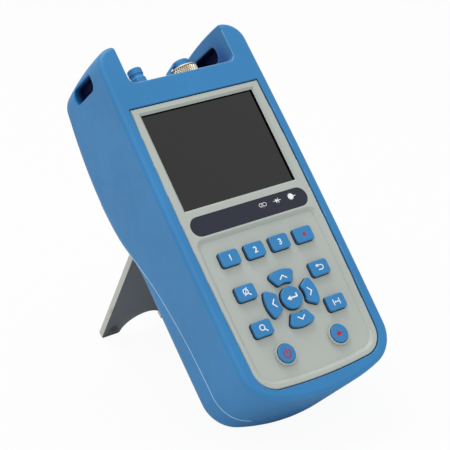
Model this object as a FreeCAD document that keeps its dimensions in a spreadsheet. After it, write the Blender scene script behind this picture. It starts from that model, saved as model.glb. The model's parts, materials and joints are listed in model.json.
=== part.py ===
import FreeCAD, Part
import math
import os
import re
import Sketcher

from FreeCAD import Placement, Rotation, Vector

# Palm-size optical time domain reflectometer, standing on its fold-out stand.
#
# Everything is drawn in the lying frame of the casing: X across, Y along the casing from
# its bottom end, Z out of the front, with Z = 0 on the face of the front panel. One
# placement, worked out from the two places that touch the table, then leans every
# sub-part back into the standing pose: +Z up, the table at Z = 0.

os.makedirs("parts", exist_ok=True)
doc = FreeCAD.newDocument("Reflectometer")
sheet = doc.addObject("Spreadsheet::Sheet", "Sizes")

# Driving dimensions: alias, millimetres (or degrees), meaning.
SIZES = [
    # casing
    ("body_width", 96.6, "casing width over the flanks"),
    ("rim_height", 190.0, "bottom end to the rim of the connector bay"),
    ("ear_rise", 23.2, "rise of the two ears above that rim"),
    ("crown_rise", 2.8, "crown of the ears behind their front"),
    ("crown_depth", 36.0, "casing face to the highest line of the ears"),
    ("grip_depth", 57.0, "panel face to the flat back of the grip"),
    ("head_depth", 68.0, "panel face to the back behind the screen"),
    ("ear_depth", 57.5, "panel face to the back of the ears"),
    ("face_proud", 0.5, "casing face stands this far in front of the panel"),
    ("shell_wall", 2.6, "wall of the two shells"),
    ("end_sag", 10.6, "curve of the bottom end over the whole width"),
    ("flank_bow", 1.2, "outward bow of each flank"),
    ("end_corner", 20.0, "radius of the bottom corners"),
    ("ear_corner", 12.0, "radius of the ears' outer corners"),
    ("front_edge", 3.0, "rounding between front face and flanks"),
    ("back_edge", 10.0, "rounding between back and flanks"),
    ("rim_edge", 1.2, "rounding round the front of the connector bay"),
    ("seam_depth", 38.5, "parting line of the shells on the grip, from the panel face"),
    ("seam_gap", 0.25, "open line between the two shells"),
    # connector bay and ears
    ("bay_width", 67.8, "width between the ears"),
    ("bay_corner", 4.0, "radius at the foot of the ears"),
    ("bay_floor", 3.0, "port plate recess below the rim"),
    ("slot_low", 197.7, "strap slot, lower edge at its front"),
    ("slot_high", 207.1, "strap slot, upper edge at its front"),
    ("slot_front", 13.8, "strap slot, front end below the panel face"),
    ("slot_length", 27.0, "strap slot, front to back"),
    ("slot_mouth", 0.8, "rounding round the mouths of the strap slots"),
    ("slot_tilt", 3.2, "rise of the slot towards the back"),
    ("slot_corner", 4.2, "corner radius of the strap slots"),
    # front panel
    ("panel_top", 175.3, "bottom end to the panel's upper edge"),
    ("panel_foot", 9.0, "bottom end to the panel's lower edge"),
    ("panel_top_half", 41.3, "half width of the panel at its upper edge"),
    ("panel_foot_half", 39.8, "half width of the panel at its lower corners"),
    ("panel_bow", 1.5, "outward bow of the panel's sides"),
    ("panel_sag", 2.8, "outward bow of the panel's lower edge"),
    ("panel_corner", 13.0, "radius of the panel's lower corners"),
    ("panel_thick", 3.2, "panel thickness"),
    ("panel_gap", 0.45, "gap round the panel"),
    ("ledge_width", 2.4, "width of the ledge that the panel is glued on"),
    ("ledge_thick", 2.0, "thickness of that ledge"),
    ("dish_depth", 1.5, "depth of the keypad dish"),
    ("dish_border", 4.0, "panel border beside and below the keypad dish"),
    ("dish_top", 95.0, "bottom end to the upper edge of the dish"),
    ("dish_corner", 9.0, "radius of the dish's lower corners"),
    ("dish_top_corner", 2.5, "radius of the dish's upper corners"),
    ("dish_splay", 1.1, "the dish is wider by this at its top, on each side"),
    # screen
    ("opening_edge", 0.5, "rounding of the casing round the panel"),
    ("panel_edge", 0.7, "rounding of the panel's own outer edge"),
    ("window_bevel", 1.3, "slope round the screen opening"),
    ("dish_slope", 1.8, "width of the slope round the keypad dish"),
    ("dish_fall", 1.35, "depth of that slope"),
    ("window_width", 72.0, "screen opening, across"),
    ("window_height", 57.3, "screen opening, along"),
    ("window_middle", 142.4, "bottom end to the middle of the screen"),
    ("window_sink", 2.4, "screen glass below the panel face"),
    ("glass_border", 1.4, "glass hidden behind the panel on each side"),
    ("glass_thick", 1.2, "screen glass thickness"),
    ("glass_gap", 0.15, "gap round the glass"),
    ("gasket_thick", 1.0, "foam gasket between glass and display"),
    ("display_width", 76.9, "display module, across"),
    ("display_height", 63.9, "display module, along"),
    ("display_thick", 3.4, "display module thickness"),
    ("display_drop", 1.75, "middle of the display module below the middle of the window"),
    # label strip with the lamp symbols
    ("strip_half", 37.6, "half length of the dark strip"),
    ("strip_height", 11.0, "height of the dark strip"),
    ("strip_drop", 4.75, "screen opening to the strip"),
    ("strip_thick", 0.2, "thickness of the strip"),
    ("strip_gap", 0.1, "gap round the strip in its seat"),
    ("lamp_radius", 0.9, "status lamp light guides"),
    ("lamp_pitch", 9.4, "distance between the lamps"),
    ("lamp_first", 8.9, "first lamp to the right of the middle"),
    # keys
    ("key_rise", 1.2, "key tops in front of the panel face"),
    ("key_travel", 0.9, "how far a key goes down"),
    ("key_gap", 0.3, "gap round each key in the panel"),
    ("key_edge", 0.6, "rounding of the key tops"),
    ("key_flange", 0.8, "key skirt held behind the panel"),
    ("skirt_thick", 1.0, "thickness of that skirt"),
    ("skirt_gap", 0.05, "skirt to the back of the panel"),
    ("key_width", 11.6, "oblong key, across"),
    ("key_height", 8.4, "oblong key, along"),
    ("key_corner", 1.7, "corner radius of the oblong keys"),
    ("row_height", 82.7, "bottom end to the row of four keys"),
    ("row_pitch", 16.0, "spacing of the row of four keys"),
    ("side_key_offset", 24.0, "side keys from the middle line"),
    ("side_key_high", 62.7, "bottom end to the upper side keys"),
    ("side_key_low", 42.3, "bottom end to the lower side keys"),
    ("pad_middle", 52.4, "bottom end to the middle of the arrow ring"),
    ("enter_radius", 6.3, "round key in the middle of the arrow ring"),
    ("arrow_inner", 8.6, "inner radius of the arrow keys"),
    ("arrow_outer", 16.3, "outer radius of the arrow keys"),
    ("arrow_half_angle", 30.0, "half opening angle of an arrow key, degrees"),
    ("round_radius", 5.1, "power and light keys"),
    ("round_offset", 17.3, "power and light keys from the middle line"),
    ("round_height", 26.1, "bottom end to the power and light keys"),
    ("collar_wall", 0.8, "raised collar round those keys"),
    # boards behind the keys
    ("mat_thick", 0.7, "silicone mat on the key board"),
    ("mat_gap", 0.25, "pressed key to the mat"),
    ("dome_radius", 2.4, "dome switches"),
    ("dome_height", 0.8, "height of a dome switch"),
    ("board_thick", 1.6, "both circuit boards"),
    ("board_drop", 12.0, "main board below the panel face"),
    ("board_gap", 0.2, "main board to the inside of the flanks"),
    ("board_foot", 14.0, "bottom end to the main board"),
    ("board_top", 182.0, "bottom end to the main board's upper edge"),
    ("key_board_half", 34.4, "half width of the key board"),
    ("key_board_foot", 16.0, "bottom end to the key board"),
    ("key_board_top", 91.0, "bottom end to the key board's upper edge"),
    ("post_radius", 2.2, "posts that carry the key board"),
    ("post_x", 31.0, "posts from the middle line"),
    ("post_low", 34.0, "bottom end to the lower posts"),
    ("post_high", 73.0, "bottom end to the upper posts"),
    ("board_post_radius", 2.4, "posts that carry the main board"),
    ("board_post_low", 50.0, "bottom end to the lower posts of the main board"),
    ("board_post_high", 140.0, "bottom end to its upper posts"),
    ("board_post_out", 0.5, "those posts outside the panel's upper corners"),
    ("small_screw", 1.0, "radius of the board screws"),
    ("small_head", 1.9, "head radius of the board screws"),
    ("screw_gap", 0.05, "screws in their holes"),
    # what sits on the main board
    ("module_left", -4.0, "optical module, left side"),
    ("module_width", 32.0, "optical module, across"),
    ("module_foot", 118.0, "bottom end to the optical module"),
    ("module_length", 52.0, "optical module, along"),
    ("module_thick", 18.0, "optical module thickness"),
    ("spool_radius", 15.0, "fibre spool flange"),
    ("spool_core", 10.0, "fibre spool core"),
    ("spool_height", 9.0, "fibre spool height"),
    ("coil_gap", 0.3, "coiled fibre to the rim of the spool"),
    # battery
    ("cell_radius", 9.2, "one lithium cell"),
    ("cell_length", 65.0, "length of a cell"),
    ("battery_foot", 22.0, "bottom end to the battery"),
    ("battery_wrap", 0.4, "sleeve round the cells"),
    ("cell_gap", 0.6, "wall of the sleeve between two cells"),
    # connectors
    ("port_depth", 28.0, "connector axes behind the panel face"),
    ("test_port_x", 18.0, "test connector, right of the middle"),
    ("light_port_x", -12.0, "light source connector, left of the middle"),
    ("plate_thick", 2.0, "port plate"),
    ("plate_width", 58.0, "port plate, across"),
    ("plate_depth", 40.0, "port plate, front to back"),
    ("plate_gap", 0.2, "gap round the port plate"),
    ("nut_radius", 8.25, "knurled nut"),
    ("nut_length", 13.2, "length of the knurled nut"),
    ("nut_foot", 1.0, "flange under the knurled nut"),
    ("test_body_radius", 6.0, "barrel of the test connector under the plate"),
    ("test_flange", 8.0, "flange of the test connector"),
    ("light_body_radius", 4.4, "barrel of the light source connector under the plate"),
    ("light_flange", 6.0, "flange of the light source connector"),
    ("light_barrel", 3.2, "its barrel above the flange"),
    ("port_tail", 11.0, "connectors below the port plate"),
    ("port_hole_gap", 0.4, "connector barrels in the shell, radially"),
    ("port_plate_gap", 0.1, "connector barrels in the port plate, radially"),
    ("thread_radius", 7.0, "threaded base of the test connector"),
    ("thread_gap", 0.05, "nut on its thread, radially"),
    ("adapter_radius", 4.0, "outer radius of the ferrule adapter"),
    ("adapter_rise", 2.2, "adapter stands above the nut"),
    ("sleeve_radius", 1.6, "outer radius of the ceramic sleeves"),
    ("ferrule_radius", 1.25, "bore of the ceramic sleeves"),
    ("cap_radius", 5.3, "cap of the test connector"),
    ("cap_top", 208.2, "bottom end to the top of that cap"),
    ("strap_width", 5.0, "width of the strap that holds that cap"),
    ("cap_wall_gap", 0.06, "caps on their adapters, radially"),
    ("small_cap_radius", 4.3, "cap of the light source connector"),
    ("small_cap_top", 209.6, "bottom end to the top of that cap"),
    ("knurl_count", 40, "flutes round the nut"),
    ("knurl_radius", 0.35, "radius of one flute"),
    # sockets behind the rubber flap on the right flank
    ("jack_height", 150.0, "bottom end to the charger socket"),
    ("jack_depth", 19.0, "charger socket axis below the panel face"),
    ("jack_bore", 2.85, "bore radius of the charger socket"),
    ("jack_length", 9.5, "bore length of the charger socket"),
    ("usb_height", 134.0, "bottom end to the data socket"),
    ("usb_half", 3.9, "half length of the data socket"),
    ("usb_thick", 4.0, "height of the data socket on its board"),
    ("socket_gap", 0.4, "data socket in the wall of the flank"),
    ("jack_block_half", 4.6, "half length of the charger socket's block"),
    ("flap_length", 32.0, "rubber flap, along the casing"),
    ("flap_width", 14.0, "rubber flap, front to back"),
    ("flap_thick", 1.5, "rubber flap thickness"),
    ("flap_gap", 0.3, "gap round the flap"),
    # stand
    ("stand_swing", 75.6, "angle between the folded and the open stand, degrees"),
    ("stand_half", 28.1, "half width of the stand"),
    ("stand_thick", 4.0, "thickness of the stand"),
    ("stand_length", 124.0, "hinge to the feet"),
    ("stand_hinge", 133.6, "bottom end to the stand's hinge"),
    ("stand_gap", 0.3, "stand to the walls of its recess"),
    ("stand_sink", 1.0, "folded stand below the back of the grip"),
    ("arch_radius", 15.3, "arch between the feet"),
    ("pin_radius", 1.6, "hinge pin"),
    ("pin_gap", 0.05, "stand on its pin, radially"),
    ("knuckle_radius", 3.3, "barrel of the stand round its pin"),
    # case screws
    ("boss_x", 38.8, "case screws from the middle line"),
    ("boss_radius", 3.4, "screw bosses"),
    ("boss_low", 26.0, "bottom end to the lower case screws"),
    ("boss_mid", 96.0, "bottom end to the middle case screws"),
    ("boss_high", 179.8, "bottom end to the upper case screws"),
    ("case_screw", 1.5, "radius of the case screws"),
    ("case_head", 2.7, "head radius of the case screws"),
    ("case_head_sink", 2.4, "depth of the screw head wells"),
]

ALIASES = set()
for line, (alias, value, meaning) in enumerate(SIZES, start=1):
    sheet.set("A%d" % line, alias)
    sheet.set("B%d" % line, str(value))
    sheet.set("C%d" % line, meaning)
    sheet.setAlias("B%d" % line, alias)
    ALIASES.add(alias)
doc.recompute()


# ---------------------------------------------------------------- helpers

def spec(expression):
    """The expression with each alias pointing into the spreadsheet."""
    def word(match):
        return "Sizes." + match.group() if match.group() in ALIASES else match.group()
    return re.sub(r"[A-Za-z_]\w*", word, str(expression))


def num(expression):
    """The value of an expression of aliases, as a plain number."""
    value = sheet.evalExpression(spec(expression))
    return float(getattr(value, "Value", value))


def bind(item, **expressions):
    """Bind properties of a document object to expressions of the sheet's aliases."""
    for prop, expression in expressions.items():
        item.setExpression(prop.replace("__", "."), spec(expression))
    return item


def place(item, x, y, z):
    """Bind the position of a primitive."""
    return bind(item, Placement__Base__x=x, Placement__Base__y=y, Placement__Base__z=z)


def box(name, x, y, z):
    """A box between pairs of expressions (low, high) on each axis."""
    item = doc.addObject("Part::Box", name)
    size = ["(%s) - (%s)" % (high, low) for low, high in (x, y, z)]
    bind(item, Length=size[0], Width=size[1], Height=size[2])
    return place(item, x[0], y[0], z[0])


TURN = {
    "Z": Rotation(),
    "Y": Rotation(Vector(1, 0, 0), -90),
    "X": Rotation(Vector(0, 1, 0), 90),
}


def rod(name, start, radius, length, axis="Z"):
    """A cylinder that starts at a point and runs along an axis."""
    item = doc.addObject("Part::Cylinder", name)
    item.Placement = Placement(Vector(), TURN[axis])
    bind(item, Radius=radius, Height=length)
    return place(item, *start)


def cut(name, base, *tools):
    item = doc.addObject("Part::Cut", name)
    item.Base = base
    item.Tool = tools[0] if len(tools) == 1 else fuse(name + "_tools", *tools)
    return item


def fuse(name, *items):
    item = doc.addObject("Part::MultiFuse", name)
    item.Shapes = list(items)
    return item


def common(name, *items):
    item = doc.addObject("Part::MultiCommon", name)
    item.Shapes = list(items)
    return item


def edges(shape, test):
    """Numbers of the edges whose bounding box passes the test."""
    return [number for number, edge in enumerate(shape.Edges, start=1) if test(edge.BoundBox)]


def rounded(name, base, *groups):
    """A Part fillet; each group is a radius expression and a test for its edges."""
    doc.recompute()
    chosen = []
    for radius, test in groups:
        chosen += [(number, num(radius), num(radius)) for number in edges(base.Shape, test)]
    item = doc.addObject("Part::Fillet", name)
    item.Base = base
    item.Edges = chosen
    return item


def bevelled(name, base, *groups):
    """A Part chamfer; each group is its width across, its depth, and a test for its edges."""
    doc.recompute()
    chosen = []
    for across, down, test in groups:
        chosen += [(number, num(across), num(down)) for number in edges(base.Shape, test)]
    item = doc.addObject("Part::Chamfer", name)
    item.Base = base
    item.Edges = chosen
    return item


def along(axis, tiny=0.01):
    """A test for straight edges parallel to an axis."""
    def test(bounds):
        size = {"X": bounds.XLength, "Y": bounds.YLength, "Z": bounds.ZLength}
        return size.pop(axis) > tiny and max(size.values()) < tiny
    return test


PLANE_NORMAL = {"XY_Plane": "z", "XZ_Plane": "y", "YZ_Plane": "x"}


def sketch(owner, name, role="XY_Plane", offset="0"):
    """A sketch on one of the body's own origin planes, or a loose one on the same plane."""
    if owner is None:
        item = doc.addObject("Sketcher::SketchObject", name)
        turn = {
            "XY_Plane": Rotation(),
            "YZ_Plane": Rotation(Vector(1, 1, 1), 120),
        }
        item.Placement = Placement(Vector(), turn[role])
        normal = PLANE_NORMAL[role]
        item.setExpression("Placement.Base." + normal, spec(offset))
        return item
    item = owner.newObject("Sketcher::SketchObject", name)
    plane = [feature for feature in owner.Origin.OriginFeatures if feature.Role == role][0]
    item.AttachmentSupport = [(plane, "")]
    item.MapMode = "FlatFace"
    item.setExpression("AttachmentOffset.Base.z", spec(offset))
    return item


def pin_point(item, geometry, end, x, y):
    """Fix one end of a sketch curve with two dimensions from the sketch origin."""
    for kind, expression in (("DistanceX", x), ("DistanceY", y)):
        index = item.addConstraint(
            Sketcher.Constraint(kind, -1, 1, geometry, end, num(expression)))
        item.setExpression("Constraints[%d]" % index, spec(expression))


def loop(item, corners, sags=None):
    """A closed outline through corners (pairs of expressions).

    sags[i] is how far side i bulges to the right of its way from corner i to the next;
    a side with no sag is straight.
    """
    sags = sags or {}
    spots = [Vector(num(x), num(y), 0) for x, y in corners]
    ends = []
    for i, start in enumerate(spots):
        stop = spots[(i + 1) % len(spots)]
        if i not in sags:
            ends.append((item.addGeometry(Part.LineSegment(start, stop)), 1, 2))
            continue
        sag = num(sags[i])
        chord = stop - start
        right = Vector(chord.y, -chord.x, 0).normalize()
        radius = chord.Length ** 2 / (8 * abs(sag)) + abs(sag) / 2
        toward = right if sag > 0 else -right
        middle = (start + stop) / 2 + toward * (abs(sag) - radius)
        counter_clockwise = sag > 0
        first, last = (start, stop) if counter_clockwise else (stop, start)
        angles = [math.atan2((p - middle).y, (p - middle).x) for p in (first, last)]
        circle = Part.Circle(middle, Vector(0, 0, 1), radius)
        number = item.addGeometry(Part.ArcOfCircle(circle, angles[0], angles[1]))
        ends.append((number, 1, 2) if counter_clockwise else (number, 2, 1))
        (x1, y1), (x2, y2) = corners[i], corners[(i + 1) % len(corners)]
        size = "abs(%s)" % sags[i]
        rule = "((({1})-({0}))^2 + (({3})-({2}))^2) / (8*{4}) + {4}/2"
        index = item.addConstraint(Sketcher.Constraint("Radius", number, radius))
        item.setExpression("Constraints[%d]" % index, spec(rule.format(x1, x2, y1, y2, size)))
    for i, (number, start, stop) in enumerate(ends):
        follower, follower_start, _ = ends[(i + 1) % len(ends)]
        item.addConstraint(
            Sketcher.Constraint("Coincident", number, stop, follower, follower_start))
        pin_point(item, number, start, *corners[i])
    return item


def ring(item, x, y, radius):
    """A full circle in a sketch."""
    circle = Part.Circle(Vector(num(x), num(y), 0), Vector(0, 0, 1), num(radius))
    number = item.addGeometry(circle)
    pin_point(item, number, 3, x, y)
    index = item.addConstraint(Sketcher.Constraint("Radius", number, num(radius)))
    item.setExpression("Constraints[%d]" % index, spec(radius))
    return item


def oblong(item, x, y, width, height):
    """A rectangle about its middle."""
    low_x, high_x = "(%s) - (%s)/2" % (x, width), "(%s) + (%s)/2" % (x, width)
    low_y, high_y = "(%s) - (%s)/2" % (y, height), "(%s) + (%s)/2" % (y, height)
    return loop(item, [(low_x, low_y), (high_x, low_y), (high_x, high_y), (low_x, high_y)])


def extrusion(name, profile, length, direction=Vector(0, 0, 1)):
    """A Part extrusion of a loose sketch."""
    item = doc.addObject("Part::Extrusion", name)
    item.Base = profile
    item.DirMode = "Custom"
    item.Dir = direction
    item.Solid = True
    bind(item, LengthFwd=length)
    return item


def pad(body, profile, length, name="Pad"):
    item = body.newObject("PartDesign::Pad", name)
    item.Profile = profile
    bind(item, Length=length)
    doc.recompute()
    return item


def pocket(body, profile, length, towards_normal=False, name="Pocket"):
    """A pocket that must take volume away."""
    before = body.Shape.Volume
    item = body.newObject("PartDesign::Pocket", name)
    item.Profile = profile
    item.Reversed = towards_normal
    bind(item, Length=length)
    doc.recompute()
    assert body.Shape.Volume < before - 1e-6, "%s cuts nothing from %s" % (name, body.Label)
    return item


def fillet(body, base, radius, test, name="Rounding"):
    """A PartDesign fillet of the edges whose bounding box passes the test."""
    item = body.newObject("PartDesign::Fillet", name)
    item.Base = (base, ["Edge%d" % number for number in edges(base.Shape, test)])
    bind(item, Radius=radius)
    doc.recompute()
    return item


def turned(body, profile_points, name="Turned", sags=None):
    """A revolution about the body's own Y axis; points are (radius, height) pairs."""
    profile = sketch(body, name + "Profile", "XY_Plane")
    loop(profile, profile_points, sags)
    item = body.newObject("PartDesign::Revolution", name)
    item.Profile = profile
    item.ReferenceAxis = (profile, ["V_Axis"])
    item.Angle = 360
    doc.recompute()
    return item


# ---------------------------------------------------------------- derived places

# Depths below the panel face, as expressions of the driving dimensions.
STAND_AXIS = "(grip_depth - stand_sink - stand_thick/2)"
RECESS_FLOOR = "(grip_depth - stand_sink - stand_thick - 0.5)"
RECESS_HALF = "(stand_half + stand_gap)"
RECESS_FOOT = "(stand_hinge - stand_length - stand_gap)"
GLASS_BACK = "(window_sink + glass_thick)"
DISPLAY_FRONT = "(window_sink + glass_thick + gasket_thick)"
DISPLAY_BACK = "(window_sink + glass_thick + gasket_thick + display_thick)"
SKIRT_BACK = "(panel_thick + skirt_gap + skirt_thick)"
KEY_BOARD_FRONT = "(panel_thick + skirt_gap + skirt_thick + key_travel + mat_gap + mat_thick)"
KEY_BOARD_BACK = "(%s + board_thick)" % KEY_BOARD_FRONT
BOARD_BACK = "(board_drop + board_thick)"
MODULE_BACK = "(%s + module_thick)" % BOARD_BACK
CAVITY_TOP = "(rim_height - bay_floor - shell_wall)"
BAY_BOTTOM = "(rim_height - bay_floor)"
PLATE_FACE = "(rim_height - bay_floor + plate_thick)"
LEDGE_BACK = "(panel_thick + ledge_thick)"
CELL_DEPTH = "(%s - shell_wall - battery_wrap - 0.1 - cell_radius)" % RECESS_FLOOR
STRIP_MIDDLE = "(window_middle - window_height/2 - strip_drop - strip_height/2)"
BOARD_HALF = "(body_width/2 - flank_bow - shell_wall - board_gap)"
FAR = "120"

OBLONG_KEYS = {
    "menu_key": ("-1.5*row_pitch", "row_height"),
    "file_key": ("-0.5*row_pitch", "row_height"),
    "info_key": ("0.5*row_pitch", "row_height"),
    "light_key": ("1.5*row_pitch", "row_height"),
    "zoom_off_key": ("-side_key_offset", "side_key_high"),
    "escape_key": ("side_key_offset", "side_key_high"),
    "zoom_key": ("-side_key_offset", "side_key_low"),
    "marker_key": ("side_key_offset", "side_key_low"),
}
ROUND_KEYS = {
    "enter_key": ("0", "pad_middle", "enter_radius"),
    "power_key": ("-round_offset", "round_height", "round_radius"),
    "laser_key": ("round_offset", "round_height", "round_radius"),
}
ARROW_KEYS = {"right_key": 0, "up_key": 90, "left_key": 180, "down_key": 270}
BOSSES = [(side + "boss_x", height) for side in ("", "-")
          for height in ("boss_low", "boss_mid", "boss_high")]
POSTS = [(side + "post_x", height) for side in ("", "-") for height in ("post_low", "post_high")]
BOARD_POSTS = [(side + "(panel_top_half + board_post_out)", height) for side in ("", "-")
               for height in ("board_post_low", "board_post_high")]


def key_middle(name):
    """The middle of a key, as a pair of expressions."""
    if name in OBLONG_KEYS:
        return OBLONG_KEYS[name]
    if name in ROUND_KEYS:
        return ROUND_KEYS[name][:2]
    angle = ARROW_KEYS[name]
    middle = "(arrow_inner + arrow_outer)/2"
    return "%s*cos(%d)" % (middle, angle), "pad_middle + %s*sin(%d)" % (middle, angle)


def key_outline(item, name, grow="0"):
    """The outline of a key, grown by an expression."""
    if name in OBLONG_KEYS:
        x, y = OBLONG_KEYS[name]
        return oblong(item, x, y, "key_width + 2*(%s)" % grow, "key_height + 2*(%s)" % grow)
    if name in ROUND_KEYS:
        x, y, radius = ROUND_KEYS[name]
        return ring(item, x, y, "%s + %s" % (radius, grow))
    angle = ARROW_KEYS[name]
    inner, outer = "(arrow_inner - (%s))" % grow, "(arrow_outer + (%s))" % grow

    def corner(radius, side):
        # a side face lies parallel to its radial line, moved out by the growth
        open_angle = "((%d + %d*arrow_half_angle)*1deg + %d*asin((%s)/%s))" % (
            angle, side, side, grow, radius)
        return ("%s*cos(%s)" % (radius, open_angle),
                "pad_middle + %s*sin(%s)" % (radius, open_angle))

    def rise(radius):
        return "%s*(1 - cos(arrow_half_angle*1deg + asin((%s)/%s)))" % (radius, grow, radius)

    corners = [corner(inner, -1), corner(outer, -1), corner(outer, 1), corner(inner, 1)]
    return loop(item, corners, {1: rise(outer), 3: "-" + rise(inner)})


def lean_placement():
    """The placement that stands the lying casing on its end and the feet of its stand.

    The end touches with its rounded back edge, a circle of back_edge radius; the stand
    touches with the lower corner of its feet.
    """
    swing = math.radians(num("stand_swing"))
    down = Vector(0, -math.cos(swing), -math.sin(swing))
    across = Vector(0, -down.z, down.y)
    hinge = Vector(0, num("stand_hinge"), -num(STAND_AXIS))
    centre = Vector(0, num("back_edge"), num("back_edge - grip_depth"))
    radius = num("back_edge")
    feet = [hinge + down * num("stand_length") + across * (side * num("stand_thick/2"))
            for side in (-1, 1)]
    leans = []
    for foot in feet:
        reach = centre - foot
        angle = math.atan2(reach.y, reach.z) + math.acos(radius / reach.Length)
        lean = Rotation(Vector(1, 0, 0), math.degrees(angle))
        leans.append((min(lean.multVec(corner).z for corner in feet)
                      - lean.multVec(foot).z, lean, lean.multVec(foot).z))
    _, lean, table = max(leans, key=lambda entry: entry[0])
    edge = num("front_edge")
    front_end = lean.multVec(Vector(0, edge, num("face_proud") - edge)).y - edge
    back_end = max(lean.multVec(foot).y for foot in feet)
    return Placement(Vector(0, -(front_end + back_end) / 2, -table), lean)


LEAN = lean_placement()
SWING_CENTRE = Vector(0, num("stand_hinge"), -num(STAND_AXIS))
SWING = Placement(Vector(), Rotation(Vector(1, 0, 0), num("stand_swing")), SWING_CENTRE)
PIECES = []


def piece(label, *items, pose=None):
    """Name a finished sub-part and put it into the standing pose."""
    if len(items) == 1 and items[0].TypeId == "PartDesign::Body":
        item = items[0]
    else:
        item = doc.addObject("Part::Compound", label)
        item.Links = list(items)
    item.Label = label
    item.Placement = pose or LEAN
    PIECES.append(item)
    return item


# ---------------------------------------------------------------- casing volumes

def casing_block(name, inset):
    """The closed casing without bay and recesses, every face moved in by inset."""
    half = num("body_width/2") - inset
    shoulder = half - num("flank_bow")
    foot, top = inset, num("rim_height + ear_rise") - inset
    crown = top + num("crown_rise")
    corner_y = foot + num("end_sag")
    middle_y = (corner_y + crown) / 2
    face = num("face_proud") - inset
    deep = num("head_depth") + 20
    outline = Part.Wire([
        Part.Arc(Vector(-shoulder, corner_y, 0), Vector(0, foot, 0),
                 Vector(shoulder, corner_y, 0)).toShape(),
        Part.Arc(Vector(shoulder, corner_y, 0), Vector(half, middle_y, 0),
                 Vector(shoulder, crown, 0)).toShape(),
        Part.LineSegment(Vector(shoulder, crown, 0), Vector(-shoulder, crown, 0)).toShape(),
        Part.Arc(Vector(-shoulder, crown, 0), Vector(-half, middle_y, 0),
                 Vector(-shoulder, corner_y, 0)).toShape(),
    ])
    slab = Part.Face(outline).extrude(Vector(0, 0, -deep))
    slab.translate(Vector(0, 0, face))
    low = [edge for edge in slab.Edges
           if along("Z")(edge.BoundBox) and edge.BoundBox.YMin < middle_y]
    slab = slab.makeFillet(num("end_corner") - inset, low)

    # side view: the back flat on the grip, then swelling out behind the screen; ears crowned
    grip, head = -num("grip_depth") + inset, -num("head_depth") + inset
    ears = -num("ear_depth") + inset
    swell = num("stand_hinge") - 36
    back = Part.BSplineCurve()
    back.interpolate([Vector(0, swell, grip), Vector(0, swell + 19, grip + 0.45 * (head - grip)),
                      Vector(0, num("window_middle") + 12, head),
                      Vector(0, top + 8, ears)],
                     InitialTangent=Vector(0, 1, 0), FinalTangent=Vector(0, 1, 0.28))
    corners = [Vector(0, top + 8, ears), Vector(0, top + 8, 20), Vector(0, -20, 20),
               Vector(0, -20, grip), Vector(0, swell, grip)]
    sides = [Part.LineSegment(a, b).toShape() for a, b in zip(corners, corners[1:])]
    ends = Vector(0, top, face), Vector(0, top, face - 2 * num("crown_depth"))
    arch = Part.Arc(ends[0], Vector(0, crown, face - num("crown_depth")), ends[1])
    corners = [ends[1], Vector(0, -20, ends[1].z), Vector(0, -20, 20), Vector(0, top, 20), ends[0]]
    bounds = [Part.LineSegment(a, b).toShape() for a, b in zip(corners, corners[1:])]
    block = slab
    for wire in ([back.toShape()] + sides, [arch.toShape()] + bounds):
        side_view = Part.Face(Part.Wire(wire)).extrude(Vector(2 * half + 20, 0, 0))
        side_view.translate(Vector(-half - 10, 0, 0))
        block = block.common(side_view)
    outer = [edge for edge in block.Edges
             if edge.BoundBox.YMin > top - 1 and edge.BoundBox.ZLength > num("ear_depth") / 2]
    block = block.makeFillet(num("ear_corner") - inset, outer)
    front = [edge for edge in block.Edges
             if edge.BoundBox.ZLength < 0.01 and abs(edge.BoundBox.ZMax - face) < 0.01]
    block = block.makeFillet(max(num("front_edge") - inset, 0.5), front)
    rear = [edge for edge in block.Edges
            if edge.BoundBox.ZMax < -num("ear_depth") * 0.7
            and not (along("X")(edge.BoundBox) and edge.BoundBox.YMax < top - 1)]
    block = block.makeFillet(max(num("back_edge") - inset, 0.5), rear)
    item = doc.addObject("Part::Feature", name)
    item.Shape = block
    return item


def below_seam(name, drop):
    """Everything behind the parting line, which runs level along the grip, then dives
    to the back where the casing swells; drop lowers it by the open line of the seam."""
    level = -num("seam_depth") - drop
    swell = num("stand_hinge") - 36
    head = -num("head_depth") + 6 - drop
    line = Part.BSplineCurve()
    line.interpolate([Vector(0, -10, level), Vector(0, swell - 25, level - 1),
                      Vector(0, swell + 5, (level + head) / 2 + 2),
                      Vector(0, swell + 32, head + 1.5), Vector(0, num("window_middle") + 16, head),
                      Vector(0, num("rim_height"), head + 5.5),
                      Vector(0, num("rim_height + ear_rise") + 8, head + 11)])
    ends = line.StartPoint, line.EndPoint
    deep = -num("head_depth") - 20
    corners = [ends[1], Vector(0, ends[1].y, deep), Vector(0, ends[0].y, deep), ends[0]]
    sides = [Part.LineSegment(a, b).toShape() for a, b in zip(corners, corners[1:])]
    half = num("body_width")
    solid = Part.Face(Part.Wire([line.toShape()] + sides)).extrude(Vector(2 * half, 0, 0))
    solid.translate(Vector(-half, 0, 0))
    item = doc.addObject("Part::Feature", name)
    item.Shape = solid
    return item


outer_block = casing_block("OuterBlock", 0)
inner_block = casing_block("InnerBlock", num("shell_wall"))

bay = box("BayBox", ("-bay_width/2", "bay_width/2"), ("rim_height", "rim_height + 60"),
          ("-" + FAR, "20"))
bay_cut = rounded("BayCut", bay, (
    "bay_corner", lambda b: along("Z")(b) and b.YMax < num("rim_height") + 1))


def on_rim(bounds):
    """Edges round the bay on the front face, and along the top of the ears' inner sides."""
    inside = max(bounds.XMax, -bounds.XMin) < num("bay_width/2") + 0.01
    upright = along("Z")(bounds) and bounds.YMax < num("rim_height + bay_corner") + 1
    return inside and bounds.YMin > num("rim_height") - 0.1 and bounds.ZMin > -60 and not upright


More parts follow.
